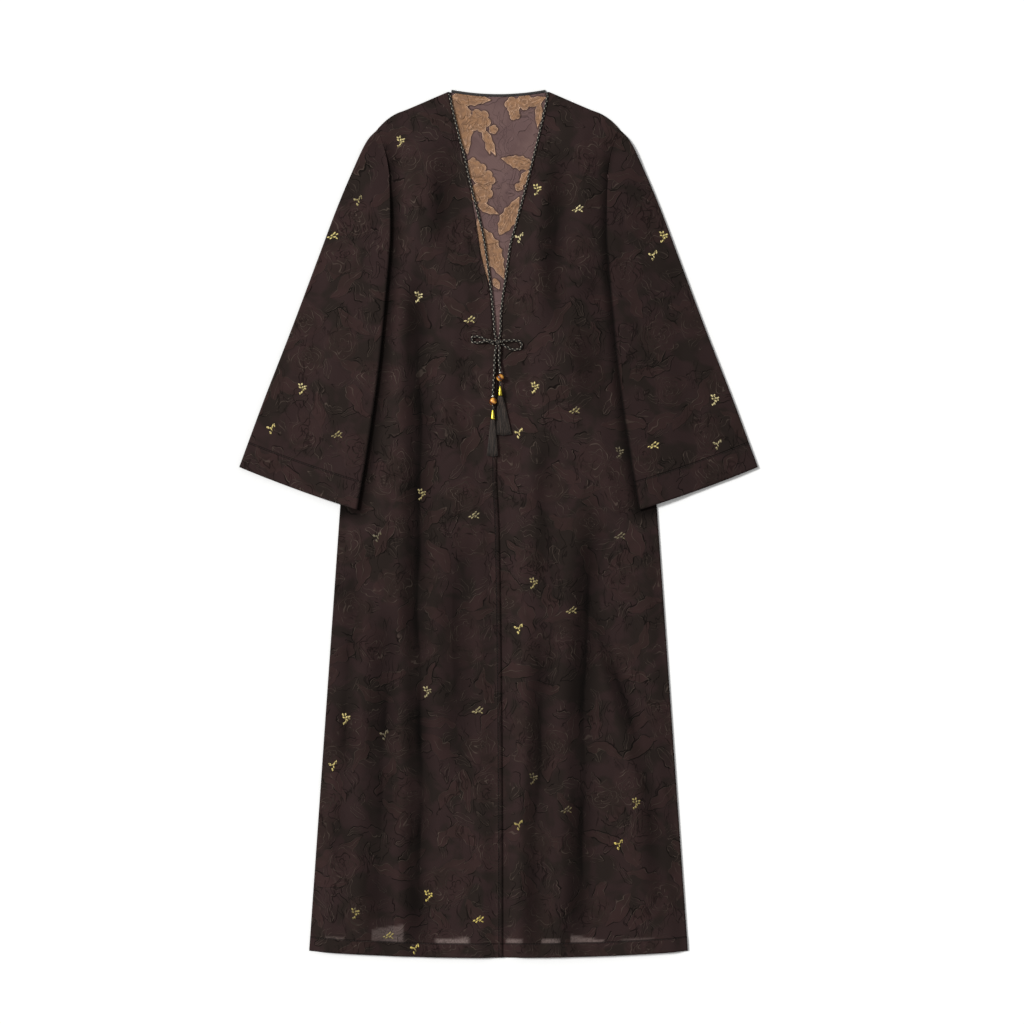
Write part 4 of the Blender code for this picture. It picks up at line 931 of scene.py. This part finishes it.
def ballProfile(radius):  # from one rim of the drilled hole to the other, and back along the hole
    least = math.asin(bead["hole"] / radius)
    angles = np.linspace(least, math.pi - least, 26)
    arc = [(radius * math.sin(angle), radius - radius * math.cos(angle)) for angle in angles]
    return arc + [arc[0]]


def chanceOf(index, often, large):  # between -0.5 and 0.5, the same at every run
    return math.sin(index * often) * large % 1 - 0.5


def addTassel(name, end, topY, node):
    strands = bmesh.new()
    columns = tasselForm["strands"] // tasselForm["layers"]
    thick, tuckY = tasselForm["thick"], topY + tasselForm["tuck"]
    halfWidth, halfHeight = tasselForm["headWidth"] / 2 - thick, tasselForm["headHeight"] / 2 - thick
    for layer in range(tasselForm["layers"]):
        level = (layer + 0.5) / tasselForm["layers"] * 2 - 1
        for column in range(columns):
            index = layer * columns + column
            across = (column + 0.5) / columns * 2 - 1
            across = across * math.sqrt(1 - tasselForm["narrow"] * level * level)
            jitter, sway = chanceOf(index, 12.9898, 43758.5453), chanceOf(index, 78.233, 12345.678)
            headX = end["x"] + across * math.sqrt(1 - level * level / 2) * halfWidth
            headZ = end["headZ"] + level * math.sqrt(1 - across * across / 2) * halfHeight
            footX = end["x"] + end["lean"] + across * end["spread"] / 2 + sway * tasselForm["sway"]
            footY = end["footY"] + tasselForm["footRise"] + abs(across) * tasselForm["footCurve"]
            footY = footY + jitter * tasselForm["uneven"]
            restZ = end["restZ"] + thick + layer * tasselForm["layerRise"] + abs(sway) * tasselForm["loose"]
            path = []
            for share in np.linspace(0, 1, tasselForm["rows"]):
                wave = math.sin(share * tasselForm["waves"] + sway * tasselForm["shift"])
                x = headX + (footX - headX) * share ** tasselForm["fan"] + wave * tasselForm["wave"] * share
                z = headZ + (restZ - headZ) * float(eased(0, tasselForm["downTo"], share))
                path.append((x, tuckY - share * (tuckY - footY), z))
            addTube(strands, path, thick, tasselForm["sides"])
    return addPiece(name, strands, [tasselThread], "tassel_thread", node)


for sideName, end in hangingEnds.items():
    lower = sideName.lower()
    beadTop = end["spacerY"] - bead["spacer"] - bead["gap"]
    capTop = beadTop - 2 * bead["stone"] - bead["gap"]
    spacer = addTurned("spacerBead" + sideName, ballProfile(bead["spacer"]),
                       (end["x"], end["spacerY"] + bead["spacer"], end["beadZ"]), silver, "silvered_metal",
                       "spacer_bead_" + lower)
    stoneBead = addTurned("stoneBead" + sideName, ballProfile(bead["stone"]),
                          (end["x"], beadTop, end["beadZ"]), stone, "banded_stone", "stone_bead_" + lower)
    cap = addTurned("tasselCap" + sideName, capTurning, (end["x"], capTop, end["stemZ"]), gilt, "gilt_metal",
                    "tassel_cap_" + lower)
    linkTube = bmesh.new()
    linkTop = capTop + bead["gap"]
    linkPath = [(end["x"], linkTop - step, end["beadZ"] + (end["stemZ"] - end["beadZ"]) * step / linkLength)
                for step in np.linspace(0, linkLength, 20)]
    addTube(linkTube, linkPath, linkRadius, 16)
    link = addPiece("tasselLink" + sideName, linkTube, [braidedCord], "braided_cord")
    addTassel("tassel" + sideName, end, capTop - capHeight - bead["gap"], "tassel_" + lower)
print("bow and tassels made")

# Gold sprigs brocaded on the cloth: each is a few petals of floating gilt thread
sprigKinds = {  # x, y, length, width, angle of each petal in the sprig
    "A": [(-4.6, 7.2, 4.8, 2.9, 130), (-0.4, 7.8, 4.4, 2.7, 80), (4.8, 4.2, 4.8, 3.0, 20),
          (-3.6, 2.8, 4.2, 2.4, 150), (0.8, 3.4, 4.2, 2.7, 60), (4.8, 0.6, 3.8, 2.2, -20),
          (1.8, -1.2, 4, 2.4, 100), (-1.2, -5.2, 4.6, 2.4, 60), (-3.8, -7, 3.8, 2.2, 100),
          (0, -2.5, 11, 0.8, 96)],
    "B": [(-7, -2, 5.4, 2.4, 20), (-3, -3.6, 4.8, 2.2, 40), (-1.4, 1.4, 5.6, 2.6, 45),
          (2.4, 4.4, 5.4, 2.6, 55), (3, -1.6, 4.8, 2.2, 35), (6.6, 2.6, 5, 2.4, 40),
          (6.2, -3.6, 4, 2.2, -25), (0, -1.2, 13, 0.8, 22)],
    "C": [(-4.8, 1.4, 5.8, 3.6, 150), (-0.6, 0.6, 3.8, 2.2, 120), (2.6, 3.6, 8, 2.1, 68),
          (5.6, 5.2, 6, 2.2, 96), (1.4, -2.4, 4.4, 2, 110), (-0.8, -6.6, 5, 3.2, 120)],
}
sprigs = [  # x, y, kind, how worn its gilt is
    (-157, 611, "A", 0), (-225, 517, "C", 0.55), (-265, 460, "B", 0), (62, 534, "A", 0),
    (127, 503, "B", 0), (33, 458, "C", 0), (264, 458, "A", 0), (247, 429, "C", 0), (-23, 438, "B", 0),
    (-128, 362, "A", 0), (-46, 326, "B", 0), (-314, 215, "A", 0), (-364, 152, "C", 0),
    (-258, 142, "B", 0.55), (58, 217, "A", 0), (122, 181, "B", 0.55), (32, 145, "C", 0),
    (346, 197, "A", 0), (248, 125, "B", 0), (350, 127, "C", 0.55), (194, 113, "A", 0.88),
    (-123, 46, "A", 0.55), (-39, 13, "B", 0.55), (-194, -21, "C", 0.88), (194, -20, "B", 0.88),
    (56, -96, "A", 0.55), (117, -139, "B", 0.55), (32, -168, "C", 0), (-114, -270, "A", 0.55),
    (-33, -299, "B", 0.55), (-244, -313, "A", 0), (-183, -338, "C", 0.88), (-265, -387, "C", 0),
    (56, -409, "A", 0.88), (109, -458, "B", 0.88), (32, -482, "C", 0.55), (220, -448, "A", 0.55),
    (192, -513, "C", 0), (-112, -596, "A", 0), (-32, -633, "B", 0), (-229, -624, "A", 0.55),
    (-176, -659, "B", 0.55), (-134, -680, "C", 0),
]
petalForm = {"lengthways": 6, "across": 4, "dome": 0.3, "lift": 0.12, "plump": 0.96, "taper": 0.85,
             "roundness": 2.4, "turnedBy": 7.0, "turns": 2.3, "aside": 24.0}
farAway = 0.1  # rays towards the cloth start so many metres from it

goldThread, shader, add = newMaterial("goldThread", Roughness=0.45, Metallic=0.15)  # gilt, worn to brown
place = add("TexCoord").outputs["Object"]
rubbed = patchy(add, place, 3, 0.47, 0.62, detail=2.0)
threads = add("TexWave", place, 1 / (3.4 * mm), 0.6).outputs["Fac"]
yellow = patchy(add, place, 210, 0.4, 0.6, 0.2, 0.7)
low = add("MapRange", add("SeparateXYZ", place).outputs[1], -0.5, -0.15, 1.0, 0.0, **soft)
pale = add("Mix", add("Math", yellow, low, **larger), "#F4EAC4", "#E9D26A", **colours)
golden = add("Mix", add("MapRange", threads, 0.2, 0.8, **soft), "#9C8B45", pale, **colours)
golden = add("Mix", rubbed, golden, "#5A4D22", **colours)
worn = add("Attribute", attribute_name="worn").outputs["Fac"]
join(add("Mix", worn, golden, "#3A3020", **colours), shader.inputs["Base Color"])
join(add("Bump", Height=threads, Distance=0.15 * mm), shader.inputs["Normal"])


def surfaceOf(piece):
    return BVHTree.FromObject(piece, bpy.context.evaluated_depsgraph_get())


def addSprigs(name, panel, surfaces, down):  # on the upper side if down is -1, underneath if it is 1
    mesh = bmesh.new()
    own = surfaces[panel.name]
    wornLayer = mesh.verts.layers.float.new("worn")
    for index, (centreX, centreY, kind, worn) in enumerate(sprigs):
        if down > 0:
            centreX = -centreX - petalForm["aside"] * (index % 2)
        start = Vector((centreX * mm, centreY * mm, -down * farAway))
        way = Vector((0, 0, down))
        hits = {other: tree.ray_cast(start, way)[3] for other, tree in surfaces.items()}
        near = [other for other, reach in hits.items() if reach is not None]
        if not near or min(near, key=lambda other: hits[other]) != panel.name:
            continue
        for dx, dy, length, width, angle in sprigKinds[kind]:
            width = width * petalForm["plump"]
            petal = bmesh.ops.create_grid(mesh, x_segments=petalForm["lengthways"],
                                          y_segments=petalForm["across"], size=0.5)["verts"]
            turn = math.radians(angle + petalForm["turnedBy"] * math.sin(index * petalForm["turns"]))
            placed = []
            for vert in petal:
                along, off = vert.co.x, vert.co.y
                half = width * (1 - (2 * abs(along)) ** petalForm["roundness"] * petalForm["taper"])
                x = centreX + dx + along * length * math.cos(turn) - off * half * math.sin(turn)
                y = centreY + dy + along * length * math.sin(turn) + off * half * math.cos(turn)
                hit = own.ray_cast(Vector((x * mm, y * mm, -down * farAway)), way)
                dome = (1 - (2 * abs(off)) ** 2) * (1 - (2 * abs(along)) ** 2)
                rise = petalForm["lift"] + petalForm["dome"] * dome
                placed.append(None if hit[0] is None else hit[0] - way * rise * mm)
            if None in placed:
                bmesh.ops.delete(mesh, geom=petal, context="VERTS")
                continue
            for vert, spot in zip(petal, placed):
                vert.co = spot
                vert[wornLayer] = worn
    if down > 0:
        bmesh.ops.reverse_faces(mesh, faces=mesh.faces)
    return addPiece(name, mesh, [goldThread], "jacquard_cloth")


bpy.context.view_layer.update()
panels = [backPanel, *fronts.values(), *sleeves.values()]
surfaces = {panel.name: surfaceOf(panel) for panel in panels}
panelSprigs = {panel.name: [addSprigs(panel.name + "Sprigs", panel, surfaces, -1)] for panel in panels[1:]}
for panel in (backPanel, *sleeves.values()):
    panelSprigs.setdefault(panel.name, []).append(addSprigs(panel.name + "SprigsUnder", panel, surfaces, 1))
print("sprigs made")

# Sewing: short stitches of dark thread along hems, cuffs and the strips of the front edges
sewing = {"pitch": 4.2, "long": 2.7, "thick": 0.28, "rise": 0.12, "dip": 0.3, "sides": 5, "bend": 5}
sewingLook = {"size": 1.0, "detail": 1.0, "colours": ("#1B1614", "#302825")}
sewingThread = twoToned("sewingThread", sewingLook, Roughness=0.6, Specular_IOR_Level=0.3)  # dull polyester


def addStitches(name, line, panel, down):  # line is a row of (x, y), evenly spaced by the stitches' pitch
    mesh = bmesh.new()
    own = surfaces[panel.name]
    for (startX, startY), (nextX, nextY) in zip(line, line[1:]):
        path = []
        for share in np.linspace(0, 1, sewing["bend"]):
            part = share * sewing["long"] / sewing["pitch"]
            x, y = startX + part * (nextX - startX), startY + part * (nextY - startY)
            hit = own.ray_cast(Vector((x * mm, y * mm, -down * farAway)), Vector((0, 0, down)))[0]
            if hit is None:
                break
            height = sewing["rise"] - (sewing["rise"] + sewing["dip"]) * abs(2 * share - 1) ** 3
            path.append((x, y, hit.z / mm - down * height))
        if len(path) == sewing["bend"]:
            addTube(mesh, path, sewing["thick"], sewing["sides"])
    return addPiece(name, mesh, [sewingThread], "jacquard_cloth")


def spaced(points):
    points = np.array(points)
    return pointsAlong(points, np.arange(0, lengthsAlong(points)[-1], sewing["pitch"]))


for sideName, side in bothSides.items():
    hemXs = np.linspace(side * 12.0, side * 301.0, 60)
    hemLine = spaced([(x, float(hemY(x)) + frontGrid["hemFold"]) for x in hemXs])
    stripYs = np.linspace(268.0, bodyCut["hemMiddleY"] + 4, 90)
    stripLine = spaced([(float(openingX(side, np.array(y))) + side * frontGrid["strip"], y) for y in stripYs])
    upper = placeSleeve(side)
    acrossPlaces = np.linspace(0.03, 0.47, 60)
    cuffDown = 1 - sleeveGrid["cuffFold"] / sleeveLength(sleeveWide(2 * acrossPlaces))
    cuffDown = cuffDown ** (1 / sleeveGrid["crowding"])
    (cuffX, cuffY, _), _ = upper(acrossPlaces, cuffDown)
    cuffLine = spaced(list(zip(cuffX, cuffY)))
    front, sleeve = fronts[sideName], sleeves[sideName]
    panelSprigs[front.name].append(addStitches("hemStitches" + sideName, hemLine, front, -1))
    if side < 0:
        panelSprigs[front.name].append(addStitches("edgeStitches" + sideName, stripLine, front, -1))
    panelSprigs[sleeve.name].append(addStitches("cuffStitches" + sideName, cuffLine, sleeve, -1))
    panelSprigs[sleeve.name].append(addStitches("cuffStitchesUnder" + sideName, cuffLine, sleeve, 1))
backHem = spaced([(x, float(hemY(x)) + frontGrid["hemFold"]) for x in np.linspace(-300, 300, 120)])
panelSprigs["backPanel"].append(addStitches("hemStitchesUnder", backHem, backPanel, 1))
print("stitches made")

# A pale floor under soft daylight from the left
studio = {"floor": 40.0, "sun": 3.0, "softness": 14.0, "sunTurn": (0.0, -46.0, -22.0), "sky": 0.5}
paperLook = {"size": 400.0, "detail": 1.0, "colours": ("#F4F4F3", "#F1F1F0"), "edges": (0.3, 0.7)}
floorMaterial = twoToned("paperFloor", paperLook, Roughness=0.9)  # matt white paper
paper = bmesh.new()
bmesh.ops.create_grid(paper, x_segments=1, y_segments=1, size=studio["floor"] / 2)
paperData = bpy.data.meshes.new("floor")
paper.to_mesh(paperData)
paper.free()
paperData.materials.append(floorMaterial)
floor = bpy.data.objects.new("floor", paperData)
floor.location.z = -0.0003
bpy.context.scene.collection.objects.link(floor)

sunData = bpy.data.lights.new("daylight", "SUN")
sunData.energy = studio["sun"]
sunData.angle = math.radians(studio["softness"])
sun = bpy.data.objects.new("daylight", sunData)
sun.rotation_euler = [math.radians(turn) for turn in studio["sunTurn"]]
bpy.context.scene.collection.objects.link(sun)

world = bpy.data.worlds.new("studio")
world.use_nodes = True
sky = world.node_tree.nodes["Background"]
sky.inputs["Color"].default_value = (1.0, 1.0, 1.0, 1.0)
sky.inputs["Strength"].default_value = studio["sky"]
bpy.context.scene.world = world
bpy.context.scene.view_settings.view_transform = "Standard"
